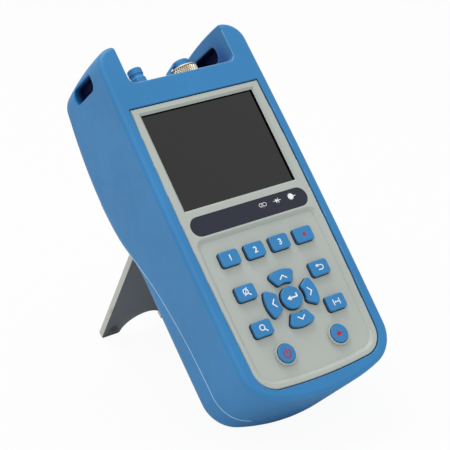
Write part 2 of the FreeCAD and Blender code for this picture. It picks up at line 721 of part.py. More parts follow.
bayed = cut("Bayed", outer_block, bay_cut)
casing_rim = rounded("CasingRim", bayed, ("rim_edge", on_rim))
slot_profile = loop(sketch(None, "SlotProfile", "YZ_Plane", "-body_width"), [
    ("slot_low", "-slot_front"),
    ("slot_low + slot_tilt", "-slot_front - slot_length"),
    ("slot_high + slot_tilt", "-slot_front - slot_length"),
    ("slot_high", "-slot_front"),
])
slot_prism = extrusion("SlotPrism", slot_profile, "2*body_width", Vector(1, 0, 0))
slot_cut = rounded("SlotCut", slot_prism, ("slot_corner", along("X")))


def on_mouth(bounds):
    """Edges where a strap slot comes out of an ear, on either side of it."""
    across = bounds.XLength < 4 and min(abs(bounds.XMin), abs(bounds.XMax)) > num("bay_width/2") - 0.1
    high = bounds.YMin > num("slot_low") - 0.1 and bounds.YMax < num("slot_high + slot_tilt") + 0.1
    low = bounds.ZMax < -num("slot_front") + 0.1
    return (across and high and low and not along("X")(bounds)
            and bounds.ZMin > -num("slot_front + slot_length") - 0.1)


slotted = cut("Slotted", casing_rim, slot_cut)
mouthed = rounded("Mouthed", slotted, ("slot_mouth", on_mouth))

# recess for the folded stand: floor, foot wall, and an upper wall that stops the open stand
stop_rise = "stand_thick/2 / sin(stand_swing)"
recess_corners = [
    (RECESS_FOOT, "-%s" % RECESS_FLOOR),
    ("stand_hinge + knuckle_radius + stand_gap", "-%s" % RECESS_FLOOR),
    ("stand_hinge + knuckle_radius + stand_gap", "-%s - knuckle_radius" % STAND_AXIS),
    ("stand_hinge + %s + stand_gap - 30/tan(stand_swing)" % stop_rise, "-%s - 30" % STAND_AXIS),
    (RECESS_FOOT, "-%s - 30" % STAND_AXIS),
]
recess_profile = loop(
    sketch(None, "RecessProfile", "YZ_Plane", "-%s" % RECESS_HALF), recess_corners)
recess_hollow = extrusion("RecessHollow", recess_profile, "2*%s" % RECESS_HALF, Vector(1, 0, 0))
barrel_groove = rod("BarrelGroove", ("-%s" % RECESS_HALF, "stand_hinge", "-%s" % STAND_AXIS),
                    "knuckle_radius + stand_gap", "2*%s" % RECESS_HALF, "X")
recess_cut = fuse("RecessCut", recess_hollow, barrel_groove)
wall_corners = [
    ("%s - shell_wall" % RECESS_FOOT, "-%s + shell_wall" % RECESS_FLOOR),
    ("stand_hinge + knuckle_radius + stand_gap + shell_wall", "-%s + shell_wall" % RECESS_FLOOR),
    ("stand_hinge + knuckle_radius + stand_gap + shell_wall", "-%s - 30" % STAND_AXIS),
    ("%s - shell_wall" % RECESS_FOOT, "-%s - 30" % STAND_AXIS),
]
wall_half = "(%s + shell_wall)" % RECESS_HALF
wall_profile = loop(sketch(None, "RecessWallProfile", "YZ_Plane", "-%s" % wall_half), wall_corners)
recess_wall = extrusion("RecessWall", wall_profile, "2*%s" % wall_half, Vector(1, 0, 0))
above_cavity = box("AboveCavity", ("-body_width", "body_width"), (CAVITY_TOP, "rim_height + 90"),
                   ("-" + FAR, "20"))
plate_seat = box("PlateSeat", ("-plate_width/2 - plate_gap", "plate_width/2 + plate_gap"),
                 (BAY_BOTTOM, "rim_height + 5"),
                 ("-port_depth - plate_depth/2 - plate_gap",
                  "-port_depth + plate_depth/2 + plate_gap"))
cavity = cut("Cavity", inner_block, above_cavity, recess_wall)
hollow = cut("Hollow", mouthed, plate_seat, cavity)

# the whole recess belongs to the back shell, also where it reaches past the parting line
front_limit = fuse("FrontLimit", below_seam("BelowSeam", 0), recess_wall)
back_limit = fuse("BackLimit", below_seam("BelowSeamGap", num("seam_gap")), recess_wall)

# ---------------------------------------------------------------- front shell

def panel_outline(item, grow):
    """Outline of the front panel, grown by an expression; its corners are still sharp."""
    top = ("panel_top_half + (%s)" % grow, "panel_top + (%s)" % grow)
    foot = ("panel_foot_half + (%s)" % grow, "panel_foot + panel_sag - (%s)" % grow)
    corners = [("-(%s)" % foot[0], foot[1]), foot, top, ("-(%s)" % top[0], top[1])]
    return loop(item, corners, {0: "panel_sag", 1: "panel_bow", 3: "panel_bow"})


def panel_prism(name, grow, front, thick):
    """A slab of the panel's outline between two depths, lower corners rounded."""
    outline = panel_outline(sketch(None, name + "Outline", "XY_Plane", "-(%s) - (%s)"
                                   % (front, thick)), grow)
    slab = extrusion(name + "Slab", outline, thick)
    corner = "panel_corner + (%s)" % grow
    return rounded(name, slab, (
        corner, lambda b: along("Z")(b) and b.YMax < num("panel_foot + panel_top") / 2))


# a collar inside the front wall carries the ledge that the panel is glued on
opening = panel_prism("PanelOpening", "panel_gap", "-5", "5 + panel_thick")
ledge_outer = panel_prism("LedgeOuter", "panel_gap + ledge_thick", "1", LEDGE_BACK + " - 1")
ledge_inner = panel_prism("LedgeInner", "-ledge_width", "0", LEDGE_BACK + " + 1")
ledge = cut("Ledge", ledge_outer, opening, ledge_inner)

front_bosses = []
front_bores = []
for x, y in BOSSES:
    front_bosses.append(rod("FrontBoss", (x, y, "-seam_depth"), "boss_radius",
                            "seam_depth - " + ("1.5" if y == "boss_high" else "(%s - 0.5)" % LEDGE_BACK)))
    front_bores.append(rod("FrontBore", (x, y, "-seam_depth - 40"), "case_screw + screw_gap",
                           "seam_depth + 40 - board_drop + 2"))
board_posts = []
board_bores = []
for x, y in BOARD_POSTS:
    board_posts.append(rod("BoardPost", (x, y, "-board_drop"), "board_post_radius",
                           "board_drop - %s + 0.2" % LEDGE_BACK))
    board_bores.append(rod("BoardBore", (x, y, "-board_drop"), "small_screw + screw_gap", "5"))

# sockets in the right flank and the seat of the flap over them
FLAP_FACE = "(body_width/2 - 0.15)"
FLAP_BACK = "(jack_depth + flap_width/2)"
FLAP_FOOT = "((jack_height + usb_height)/2 - flap_length/2)"
flap_seat = box("FlapSeat", ("%s - flap_thick" % FLAP_FACE, "body_width/2 + 5"),
                ("%s - flap_gap" % FLAP_FOOT, "%s + flap_length + flap_gap" % FLAP_FOOT),
                ("-%s - flap_gap" % FLAP_BACK, "-%s + flap_width + flap_gap" % FLAP_BACK))
jack_hole = rod("JackHole", ("body_width/2 - 12", "jack_height", "-jack_depth"),
                "jack_bore + 0.8", "20", "X")
usb_hole = box("UsbHole", ("body_width/2 - 12", "body_width/2 + 5"),
               ("usb_height - usb_half - socket_gap", "usb_height + usb_half + socket_gap"),
               ("-%s - usb_thick - socket_gap" % BOARD_BACK, "-%s + 0.2" % BOARD_BACK))
port_holes = [
    rod("TestPortHole", ("test_port_x", "rim_height - 20", "-port_depth"),
        "test_body_radius + port_hole_gap", "25", "Y"),
    rod("LightPortHole", ("light_port_x", "rim_height - 20", "-port_depth"),
        "light_body_radius + port_hole_gap", "25", "Y"),
]
PLATE_SCREWS = [(x, z) for x in ("-(plate_width/2 - 3.5)", "plate_width/2 - 3.5")
                for z in ("-port_depth - plate_depth/2 + 3.5", "-port_depth + plate_depth/2 - 3.5")]
plate_bores = [rod("PlateBore", (x, "%s - 1" % CAVITY_TOP, z), "small_screw + screw_gap", "6", "Y")
               for x, z in PLATE_SCREWS]

front_half = cut("FrontHalf", hollow, front_limit)
front_open = rounded("FrontOpen", cut("FrontCut", front_half, opening), (
    "opening_edge", lambda b: b.ZLength < 0.01 and abs(b.ZMax - num("face_proud")) < 0.01
    and num("panel_foot") - 2 < b.YMin and b.YMax < num("panel_top") + 2))
front_body = fuse("FrontBody", front_open, ledge, *(front_bosses + board_posts))
front_shell = cut("FrontShellSolid", front_body, flap_seat, jack_hole, usb_hole,
                  *(front_bores + board_bores + port_holes + plate_bores))
piece("front_shell", front_shell)

# ---------------------------------------------------------------- back shell

back_half = common("BackHalf", hollow, back_limit)
cavity_below = common("CavityBelow", cavity, back_limit)
back_posts = []
back_bores = []
for x, y in BOSSES:
    back_posts.append(rod("BackBoss", (x, y, "-head_depth"), "boss_radius",
                          "head_depth - seam_depth"))
    back_bores.append(rod("BackBore", (x, y, "-head_depth - 5"), "case_screw + 0.2",
                          "head_depth + 5"))
    skin = "grip_depth" if y != "boss_high" else "(head_depth - 5.5)"
    back_bores.append(rod("HeadWell", (x, y, "-head_depth - 5"), "case_head + 0.3",
                          "head_depth + 5 - %s + case_head_sink" % skin))
boss_fill = common("BossFill", cavity_below, fuse("BackBosses", *back_posts))
pin_hole = rod("PinHole", ("-%s" % wall_half, "stand_hinge", "-%s" % STAND_AXIS),
               "pin_radius + 0.02", "2*%s" % wall_half, "X")
back_body = fuse("BackBody", back_half, boss_fill)
back_shell = cut("BackShellSolid", back_body, recess_cut, pin_hole, *back_bores)
piece("back_shell", back_shell)

# ---------------------------------------------------------------- front panel

panel_slab = rounded("PanelSlab", panel_prism("PanelBlank", "0", "0", "panel_thick"), (
    "panel_edge", lambda b: b.ZLength < 0.01 and abs(b.ZMax) < 0.01))
window = box("Window", ("-window_width/2", "window_width/2"),
             ("window_middle - window_height/2", "window_middle + window_height/2"),
             ("-panel_thick - 1", "1"))
glass_half_x = "(window_width/2 + glass_border)"
glass_half_y = "(window_height/2 + glass_border)"
glass_seat = box("GlassSeat", ("-%s - glass_gap" % glass_half_x, "%s + glass_gap" % glass_half_x),
                 ("window_middle - %s - glass_gap" % glass_half_y,
                  "window_middle + %s + glass_gap" % glass_half_y),
                 ("-panel_thick - 1", "-window_sink"))


def strip_prism(name, grow, thick):
    """The stadium of the dark strip, standing on the strip's depth."""
    straight = "(strip_half - strip_height/2)"
    half = "(strip_height/2 + (%s))" % grow
    ends = [rod(name + "End", (side + straight, STRIP_MIDDLE, "-strip_thick"), half, thick)
            for side in ("", "-")]
    middle = box(name + "Middle", ("-" + straight, straight),
                 (STRIP_MIDDLE + " - " + half, STRIP_MIDDLE + " + " + half),
                 ("-strip_thick", "-strip_thick + " + thick))
    return fuse(name, middle, *ends)


strip_seat = strip_prism("StripSeat", "strip_gap", "strip_thick + 1")
dish_foot_half = "(panel_foot_half - dish_border)"
dish_top_half = "(panel_foot_half - dish_border + dish_splay)"
dish_foot = "(panel_foot + panel_sag + dish_border)"
dish_outline = loop(
    sketch(None, "DishOutline", "XY_Plane", "-dish_depth"),
    [("-" + dish_foot_half, dish_foot), (dish_foot_half, dish_foot),
     (dish_top_half, "dish_top"), ("-" + dish_top_half, "dish_top")],
    {0: "panel_sag", 1: "panel_bow/2", 3: "panel_bow/2"})
dish_prism = extrusion("DishPrism", dish_outline, "dish_depth + 1")
dish = rounded("Dish", dish_prism,
               ("dish_corner", lambda b: along("Z")(b) and b.YMax < num("dish_top") / 2),
               ("dish_top_corner", lambda b: along("Z")(b) and b.YMin > num("dish_top") / 2))
key_holes = []
for key in list(OBLONG_KEYS) + list(ROUND_KEYS) + list(ARROW_KEYS):
    outline = key_outline(sketch(None, key + "_hole", "XY_Plane", "-panel_thick - 1"), key, "key_gap")
    hole = extrusion(key + "_opening", outline, "panel_thick + 3")
    if key not in ROUND_KEYS:
        hole = rounded(key + "_rounded", hole, ("key_corner + key_gap", along("Z")))
    key_holes.append(hole)
lamp_holes = []
for number in range(3):
    lamp_x = "lamp_first + %d*lamp_pitch" % number
    lamp_holes.append(rod("LampHole", (lamp_x, STRIP_MIDDLE, "-panel_thick - 1"),
                          "lamp_radius + screw_gap", "panel_thick + 3"))
collars = []
for key in ("power_key", "laser_key"):
    x, y, radius = ROUND_KEYS[key]
    collars.append(rod("Collar", (x, y, "-dish_depth - 0.1"),
                       "%s + key_gap + collar_wall" % radius, "dish_depth + 0.4"))
key_posts = []
key_bores = []
for x, y in POSTS:
    key_posts.append(rod("KeyPost", (x, y, "-%s" % KEY_BOARD_FRONT), "post_radius",
                         "%s - panel_thick + 0.2" % KEY_BOARD_FRONT))
    key_bores.append(rod("KeyPostBore", (x, y, "-%s - 1" % KEY_BOARD_FRONT),
                         "small_screw + screw_gap", "3.4"))


def on_face(low, high):
    """A test for edges on the panel's face between two heights, given as expressions."""
    def test(bounds):
        flat = bounds.ZLength < 0.01 and abs(bounds.ZMax) < 0.01
        return flat and bounds.YMin > num(low) and bounds.YMax < num(high)
    return test


panel_sunk = bevelled(
    "PanelSunk", cut("PanelWindow", panel_slab, window, dish),
    ("dish_slope", "dish_fall", on_face("panel_foot + panel_sag + dish_border/8", "dish_top + 1")),
    ("window_bevel", "window_bevel", on_face("dish_top + 1", "panel_top - 1")))
panel_cut = cut("PanelCut", panel_sunk, glass_seat, strip_seat)
panel_body = fuse("PanelBody", panel_cut, *(collars + key_posts))
front_panel = cut("PanelSolid", panel_body, *(key_holes + lamp_holes + key_bores))
piece("front_panel", front_panel)

piece("screen_glass", box(
    "Glass", ("-" + glass_half_x, glass_half_x),
    ("window_middle - " + glass_half_y, "window_middle + " + glass_half_y),
    ("-" + GLASS_BACK, "-window_sink")))
gasket_frame = box(
    "GasketFrame", ("-" + glass_half_x, glass_half_x),
    ("window_middle - " + glass_half_y, "window_middle + " + glass_half_y),
    ("-" + DISPLAY_FRONT, "-" + GLASS_BACK))
gasket_window = box(
    "GasketWindow", ("-window_width/2", "window_width/2"),
    ("window_middle - window_height/2", "window_middle + window_height/2"),
    ("-%s - 1" % DISPLAY_FRONT, "0"))
piece("screen_gasket", cut("GasketSolid", gasket_frame, gasket_window))
DISPLAY_MIDDLE = "(window_middle - display_drop)"
piece("display", box(
    "Display", ("-display_width/2", "display_width/2"),
    (DISPLAY_MIDDLE + " - display_height/2", DISPLAY_MIDDLE + " + display_height/2"),
    ("-" + DISPLAY_BACK, "-" + DISPLAY_FRONT)))
piece("display_pad", box(
    "DisplayPad", ("-display_width/2 + 6", "display_width/2 - 6"),
    (DISPLAY_MIDDLE + " - display_height/2 + 8", DISPLAY_MIDDLE + " + display_height/2 - 4"),
    ("-board_drop", "-" + DISPLAY_BACK)))
piece("display_ribbon", box(
    "DisplayRibbon", ("-15", "15"),
    (DISPLAY_MIDDLE + " - display_height/2 + 3", DISPLAY_MIDDLE + " - display_height/2 + 3.3"),
    ("-board_drop", "-" + DISPLAY_BACK)))
strip_holes = [rod("StripHole", ("lamp_first + %d*lamp_pitch" % number, STRIP_MIDDLE, "-1"),
                   "lamp_radius + screw_gap", "3") for number in range(3)]
piece("label_strip", cut("StripSolid", strip_prism("StripPrism", "0", "strip_thick"),
                         *strip_holes))
piece("lamp_guides", *[
    rod("LampGuide", ("lamp_first + %d*lamp_pitch" % number, STRIP_MIDDLE, "-board_drop"),
        "lamp_radius", "board_drop") for number in range(3)])

# ---------------------------------------------------------------- keys

for key in list(OBLONG_KEYS) + list(ROUND_KEYS) + list(ARROW_KEYS):
    body = doc.addObject("PartDesign::Body", "Body_" + key)
    skirt = key_outline(sketch(body, key + "_skirt", "XY_Plane", "-" + SKIRT_BACK),
                        key, "key_flange")
    pad(body, skirt, "skirt_thick")
    cap = key_outline(sketch(body, key + "_cap", "XY_Plane", "-panel_thick - skirt_gap - 0.1"),
                      key)
    top = pad(body, cap, "panel_thick + skirt_gap + 0.1 + key_rise")
    if key not in ROUND_KEYS:
        def cap_corner(bounds):
            return along("Z")(bounds) and bounds.ZMax > 0
        top = fillet(body, top, "key_corner", cap_corner)
    level = num("key_rise")
    fillet(body, top, "key_edge",
           lambda bounds: bounds.ZLength < 0.01 and abs(bounds.ZMax - level) < 0.01)
    piece(key, body)

# ---------------------------------------------------------------- boards

dome_holes = []
domes = []
for key in list(OBLONG_KEYS) + list(ROUND_KEYS) + list(ARROW_KEYS):
    x, y = key_middle(key)
    domes.append(rod("Dome", (x, y, "-" + KEY_BOARD_FRONT), "dome_radius", "dome_height"))
    dome_holes.append(rod("DomeHole", (x, y, "-%s - 1" % KEY_BOARD_FRONT), "dome_radius + 0.4",
                          "4"))
post_holes = [rod("PostHole", (x, y, "-%s - 1" % KEY_BOARD_FRONT), "post_radius + 0.3", "4")
              for x, y in POSTS]
key_sheet = box("KeySheet", ("-key_board_half", "key_board_half"),
                ("key_board_foot", "key_board_top"),
                ("-" + KEY_BOARD_FRONT, "-%s + mat_thick" % KEY_BOARD_FRONT))
piece("keypad_mat", cut("MatSolid", key_sheet, *(dome_holes + post_holes)))
piece("dome_switches", *domes)
key_board = box("KeyBoard", ("-key_board_half", "key_board_half"),
                ("key_board_foot", "key_board_top"),
                ("-" + KEY_BOARD_BACK, "-" + KEY_BOARD_FRONT))
key_board_holes = [rod("KeyBoardHole", (x, y, "-%s - 1" % KEY_BOARD_BACK),
                       "small_screw + screw_gap", "4") for x, y in POSTS]
piece("key_board", cut("KeyBoardSolid", key_board, *key_board_holes))


def screw(x, y, seat, length, direction=1, axis="Z", head="small_head", shank="small_screw"):
    """A pan-head screw: its head under the seat, its shank along the axis."""
    thick = "(%s*0.65)" % head
    if axis == "Y":
        top = rod("Head", (x, seat, y), head, thick, "Y")
        stem = rod("Shank", (x, "%s - %s" % (seat, length), y), shank,
                   "%s + 0.2" % length, "Y")
    else:
        top = rod("Head", (x, y, "%s - %s" % (seat, thick)), head, thick)
        stem = rod("Shank", (x, y, "%s - 0.2" % seat), shank, "%s + 0.2" % length)
    return fuse("Screw", top, stem)


piece("key_board_screws", *[screw(x, y, "-" + KEY_BOARD_BACK, "(board_thick + 2)")
                            for x, y in POSTS])
piece("keypad_connector", box("KeypadConnector", ("-10", "10"), ("24", "29"),
                              ("-board_drop", "-" + KEY_BOARD_BACK)))

board = box("Board", ("-" + BOARD_HALF, BOARD_HALF), ("board_foot", "board_top"),
            ("-" + BOARD_BACK, "-board_drop"))
corner_board = rounded("BoardRounded", board,
                       ("end_corner - 2", lambda b: along("Z")(b) and b.YMax < num("board_top") / 2))
boss_holes = [rod("BoardBossHole", (x, y, "-%s - 1" % BOARD_BACK), "boss_radius + 0.4",
                  "board_thick + 2") for x, y in BOSSES]
board_holes = [rod("BoardHole", (x, y, "-%s - 1" % BOARD_BACK), "small_screw + screw_gap",
                   "board_thick + 2") for x, y in BOARD_POSTS]
piece("main_board", cut("BoardSolid", corner_board, *(boss_holes + board_holes)))
piece("board_screws", *[screw(x, y, "-" + BOARD_BACK, "(board_thick + 3)")
                        for x, y in BOARD_POSTS])
CHIPS = [(-8, 70, 14, 14), (12, 74, 9, 12), (-26, 76, 8, 10), (14, 54, 7, 7), (-6, 46, 12, 6)]
piece("board_chips", *[
    box("Chip", (str(x - w / 2), str(x + w / 2)), (str(y - d / 2), str(y + d / 2)),
        ("-%s - 1.6" % BOARD_BACK, "-" + BOARD_BACK)) for x, y, w, d in CHIPS])
piece("buzzer", rod("Buzzer", ("-28", "104", "-%s - 4.5" % BOARD_BACK), "6", "4.5"))

# ---------------------------------------------------------------- optics and battery

piece("optical_module", box(
    "OpticalModule", ("module_left", "module_left + module_width"),
    ("module_foot", "module_foot + module_length"), ("-" + MODULE_BACK, "-" + BOARD_BACK)))
spool_x, spool_y = "module_left + module_width/2", "module_foot + module_length/2"
spool_parts = [
    rod("SpoolFoot", (spool_x, spool_y, "-%s - 1.2" % MODULE_BACK), "spool_radius", "1.2"),
    rod("SpoolCore", (spool_x, spool_y, "-%s - spool_height" % MODULE_BACK), "spool_core",
        "spool_height"),
    rod("SpoolHead", (spool_x, spool_y, "-%s - spool_height" % MODULE_BACK), "spool_radius",
        "1.2"),
]
piece("fibre_spool", fuse("SpoolSolid", *spool_parts))
coil_start = (spool_x, spool_y, "-%s - spool_height + 1.25" % MODULE_BACK)
coil_body = rod("CoilBody", coil_start, "spool_radius - coil_gap", "spool_height - 2.5")
coil_hole = rod("CoilHole", coil_start, "spool_core + 0.05", "spool_height")
piece("fibre_coil", cut("CoilSolid", coil_body, coil_hole))
PORT_TAIL = "(%s - port_tail)" % BAY_BOTTOM
piece("pigtail", rod("Pigtail", ("test_port_x", "module_foot + module_length", "-port_depth"),
                     "0.9", "%s - module_foot - module_length" % PORT_TAIL, "Y"))
piece("laser_diode", rod("LaserDiode", ("light_port_x", "%s - 22" % PORT_TAIL, "-port_depth"),
                         "4.2", "22", "Y"))
CELL_SPOTS = ["%d*(2*cell_radius + cell_gap)" % step for step in (-1, 0, 1)]
piece("battery_cells", *[rod("Cell", (x, "battery_foot", "-" + CELL_DEPTH), "cell_radius",
                             "cell_length", "Y") for x in CELL_SPOTS])
sleeve_half = "(3*cell_radius + cell_gap + 0.05 + battery_wrap)"
sleeve_box = box("SleeveBox", ("-" + sleeve_half, sleeve_half),
                 ("battery_foot", "battery_foot + cell_length"),
                 ("-%s - cell_radius - battery_wrap - 0.05" % CELL_DEPTH,
                  "-%s + cell_radius + battery_wrap + 0.05" % CELL_DEPTH))
cell_holes = [rod("CellHole", (x, "battery_foot - 1", "-" + CELL_DEPTH), "cell_radius + 0.05",
                  "cell_length + 2", "Y") for x in CELL_SPOTS]
piece("battery_sleeve", cut("SleeveSolid", sleeve_box, fuse("CellHoles", *cell_holes)))

# ---------------------------------------------------------------- connectors

plate_box = box("PlateBox", ("-plate_width/2", "plate_width/2"), (BAY_BOTTOM, PLATE_FACE),
                ("-port_depth - plate_depth/2", "-port_depth + plate_depth/2"))
plate_rounded = rounded("PlateRounded", plate_box, ("2", along("Y")))
plate_holes = [
    rod("PlateTestHole", ("test_port_x", "%s - 1" % BAY_BOTTOM, "-port_depth"),
        "test_body_radius + port_plate_gap", "5", "Y"),
    rod("PlateLightHole", ("light_port_x", "%s - 1" % BAY_BOTTOM, "-port_depth"),
        "light_body_radius + port_plate_gap", "5", "Y"),
]
plate_screw_holes = [rod("PlateScrewHole", (x, "%s - 1" % BAY_BOTTOM, z),
                         "small_screw + screw_gap", "5", "Y") for x, z in PLATE_SCREWS]
piece("port_plate", cut("PlateSolid", plate_rounded, *(plate_holes + plate_screw_holes)))
piece("plate_screws", *[screw(x, z, PLATE_FACE, "(plate_thick + 2)", axis="Y")
                        for x, z in PLATE_SCREWS])


def on_axis(x):
    """The standing pose of a sub-part that is drawn about its own Y axis."""
    return LEAN.multiply(Placement(Vector(num(x), 0, -num("port_depth")), Rotation()))


def turned_piece(label, x, outline, sags=None, edge=None):
    """A turned sub-part on a connector axis; edge rounds its upper rim."""
    body = doc.addObject("PartDesign::Body", "Body_" + label)
    feature = turned(body, outline, label + "_turned", sags)
    if edge:
        upper = max(num(y) for _, y in outline)
        fillet(body, feature, edge, lambda b: b.YLength < 0.01 and abs(b.YMax - upper) < 0.01)
    piece(label, body, pose=on_axis(x))
    return body, feature


NUT_FOOT = "(%s + nut_foot + 0.2)" % PLATE_FACE
NUT_TOP = "(%s + nut_length)" % NUT_FOOT
FLANGE_TOP = "(%s + nut_foot)" % PLATE_FACE
ADAPTER_TOP = "(%s + adapter_rise)" % NUT_TOP
turned_piece("test_port", "test_port_x", [
    ("sleeve_radius + 0.05", PORT_TAIL), ("test_body_radius", PORT_TAIL),
    ("test_body_radius", PLATE_FACE), ("test_flange", PLATE_FACE), ("test_flange", FLANGE_TOP),
    ("thread_radius", FLANGE_TOP), ("thread_radius", NUT_TOP + " - 3"),
    ("adapter_radius", NUT_TOP + " - 3"), ("adapter_radius", ADAPTER_TOP),
    ("sleeve_radius + 0.05", ADAPTER_TOP)])
turned_piece("test_sleeve", "test_port_x", [
    ("ferrule_radius", FLANGE_TOP), ("sleeve_radius", FLANGE_TOP),
    ("sleeve_radius", ADAPTER_TOP + " - 0.5"), ("ferrule_radius", ADAPTER_TOP + " - 0.5")])
nut_body, nut_feature = turned_piece("knurled_nut", "test_port_x", [
    ("thread_radius + thread_gap", NUT_FOOT), ("nut_radius", NUT_FOOT), ("nut_radius", NUT_TOP),
    ("cap_radius + 0.7", NUT_TOP), ("cap_radius + 0.7", NUT_TOP + " - 2.6"),
    ("thread_radius + thread_gap", NUT_TOP + " - 2.6")])
flute_sketch = ring(sketch(nut_body, "Flute", "XZ_Plane", "-(%s)" % NUT_TOP), "0",
                    "nut_radius + 0.1", "knurl_radius")
flute = nut_body.newObject("PartDesign::Pocket", "FlutePocket")
flute.Profile = flute_sketch
flute.Midplane = False
bind(flute, Length="nut_length")
doc.recompute()
flutes = nut_body.newObject("PartDesign::PolarPattern", "Flutes")
flutes.Originals = [flute]
flutes.Axis = (flute_sketch, ["N_Axis"])
flutes.Angle = 360
bind(flutes, Occurrences="knurl_count")
turned_piece("test_cap", "test_port_x", [
    ("adapter_radius + cap_wall_gap", NUT_TOP + " - 2"), ("cap_radius", NUT_TOP + " - 2"),
    ("cap_radius", "cap_top"), ("0", "cap_top"), ("0", ADAPTER_TOP + " + 0.2"),
    ("adapter_radius + cap_wall_gap", ADAPTER_TOP + " + 0.2")], edge="1.2")
turned_piece("light_port", "light_port_x", [
    ("sleeve_radius + 0.05", PORT_TAIL), ("light_body_radius", PORT_TAIL),
    ("light_body_radius", PLATE_FACE), ("light_flange", PLATE_FACE), ("light_flange", FLANGE_TOP),
    ("light_barrel", FLANGE_TOP), ("light_barrel", "small_cap_top - 3.6"),
    ("sleeve_radius + 0.05", "small_cap_top - 3.6")])
turned_piece("light_sleeve", "light_port_x", [
    ("ferrule_radius", FLANGE_TOP), ("sleeve_radius", FLANGE_TOP),
    ("sleeve_radius", "small_cap_top - 4"), ("ferrule_radius", "small_cap_top - 4")])
turned_piece("light_cap", "light_port_x", [
    ("light_barrel + cap_wall_gap", FLANGE_TOP + " + 0.3"),
    ("small_cap_radius + 0.25", FLANGE_TOP + " + 0.3"),
    ("small_cap_radius + 0.25", "small_cap_top - 6.6"),
    ("small_cap_radius - 0.35", "small_cap_top - 5.6"),
    ("small_cap_radius - 0.35", "small_cap_top - 4.2"),
    ("small_cap_radius", "small_cap_top - 3.8"), ("small_cap_radius", "small_cap_top"),
    ("0", "small_cap_top"), ("0", "small_cap_top - 3.4"),
    ("light_barrel + cap_wall_gap", "small_cap_top - 3.4")], edge="1.0")

# the strap of the large cap leaves the cap above the nut and bends down to the port plate
strap_x = "(test_port_x - cap_radius - 0.1)"
strap_rise = NUT_TOP + " + 0.5"
strap_left = "(test_port_x - nut_radius - 1.8)"
strap_points = [
    (strap_x, strap_rise + " + 2"), (strap_x, strap_rise + " + 3.5"),
    (strap_left, NUT_TOP + " + 0.5"), (strap_left + " - 3.4", NUT_TOP + " - 7.5"),
    (strap_left + " - 3.4", PLATE_FACE), (strap_left + " - 2", PLATE_FACE),
    (strap_left + " - 2", NUT_TOP + " - 7.9"), (strap_left + " + 0.9", NUT_TOP + " - 0.6")]
strap = doc.addObject("PartDesign::Body", "Strap")
strap_sketch = loop(sketch(strap, "StrapProfile", "XY_Plane", "-port_depth - strap_width/2"), strap_points)
pad(strap, strap_sketch, "strap_width")
piece("cap_tether", strap)

# ---------------------------------------------------------------- sockets and flap

JACK_FACE = "(body_width/2 - shell_wall - 0.35)"
jack_body = box("JackBlock", (JACK_FACE + " - jack_length - 1.5", JACK_FACE),
                ("jack_height - jack_block_half", "jack_height + jack_block_half"),
                ("-jack_depth - 5", "-" + BOARD_BACK))
jack_bore = rod("JackBore", (JACK_FACE + " - jack_length", "jack_height", "-jack_depth"),
                "jack_bore", "20", "X")
jack_pin = rod("JackPin", (JACK_FACE + " - jack_length - 0.5", "jack_height", "-jack_depth"),
               "1", "jack_length - 0.5", "X")
jack_shell = cut("JackShell", jack_body, jack_bore)
piece("charger_jack", fuse("JackSolid", jack_shell, jack_pin))
usb_block = box("UsbBlock", (JACK_FACE + " - 8", JACK_FACE),
                ("usb_height - usb_half", "usb_height + usb_half"),
                ("-%s - usb_thick" % BOARD_BACK, "-" + BOARD_BACK))
usb_slot = box("UsbSlot", (JACK_FACE + " - 6.5", JACK_FACE + " + 1"),
               ("usb_height - usb_half + 0.5", "usb_height + usb_half - 0.5"),
               ("-%s - usb_thick + 0.6" % BOARD_BACK, "-%s - 0.6" % BOARD_BACK))
piece("usb_socket", cut("UsbSolid", usb_block, usb_slot))
flap = doc.addObject("PartDesign::Body", "Flap")
flap_profile = loop(sketch(flap, "FlapProfile", "XZ_Plane", "-%s - flap_length" % FLAP_FOOT), [
    (FLAP_FACE, "-" + FLAP_BACK),
    (FLAP_FACE, "-%s + flap_width" % FLAP_BACK),
    (FLAP_FACE + " - flap_thick + 0.1", "-%s + flap_width" % FLAP_BACK),
    (FLAP_FACE + " - flap_thick + 0.1", "-%s + flap_thick + 0.4" % FLAP_BACK)])
pad(flap, flap_profile, "flap_length")
piece("port_flap", flap)

# ---------------------------------------------------------------- stand, drawn folded

STAND_POSE = LEAN.multiply(SWING)
stand = doc.addObject("PartDesign::Body", "Stand")
stand_inner = "-(%s - stand_thick/2)" % STAND_AXIS
stand_outer = "-(%s + stand_thick/2)" % STAND_AXIS
stand_foot = "(stand_hinge - stand_length)"
stand_sketch = loop(sketch(stand, "StandOutline", "XY_Plane", stand_outer), [
    ("-stand_half", stand_foot), ("stand_half", stand_foot),
    ("stand_half", "stand_hinge"), ("-stand_half", "stand_hinge")])
pad(stand, stand_sketch, "stand_thick")
arch_sketch = ring(sketch(stand, "ArchOutline", "XY_Plane", stand_outer),
                   "0", stand_foot, "arch_radius")
plate = pocket(stand, arch_sketch, "stand_thick", towards_normal=True)
plate = fillet(stand, plate, "1.5",
               lambda b: along("Z")(b) and b.YMax < num(stand_foot) + 0.1)
barrel_sketch = ring(sketch(stand, "BarrelOutline", "YZ_Plane", "-stand_half"),
                     "stand_hinge", "-" + STAND_AXIS, "knuckle_radius")
pad(stand, barrel_sketch, "2*stand_half", "Barrel")
nub_outline = sketch(stand, "NubOutline", "XY_Plane", "-%s - 1" % STAND_AXIS)
oblong(nub_outline, "0", stand_foot + " + 30", "2*stand_half + 0.4", "6")
pad(stand, nub_outline, "2", "Nubs")
bore_sketch = ring(sketch(stand, "BarrelBore", "YZ_Plane", "-stand_half"),
                   "stand_hinge", "-" + STAND_AXIS, "pin_radius + pin_gap")
pocket(stand, bore_sketch, "2*stand_half", towards_normal=True)
piece("kickstand", stand, pose=STAND_POSE)
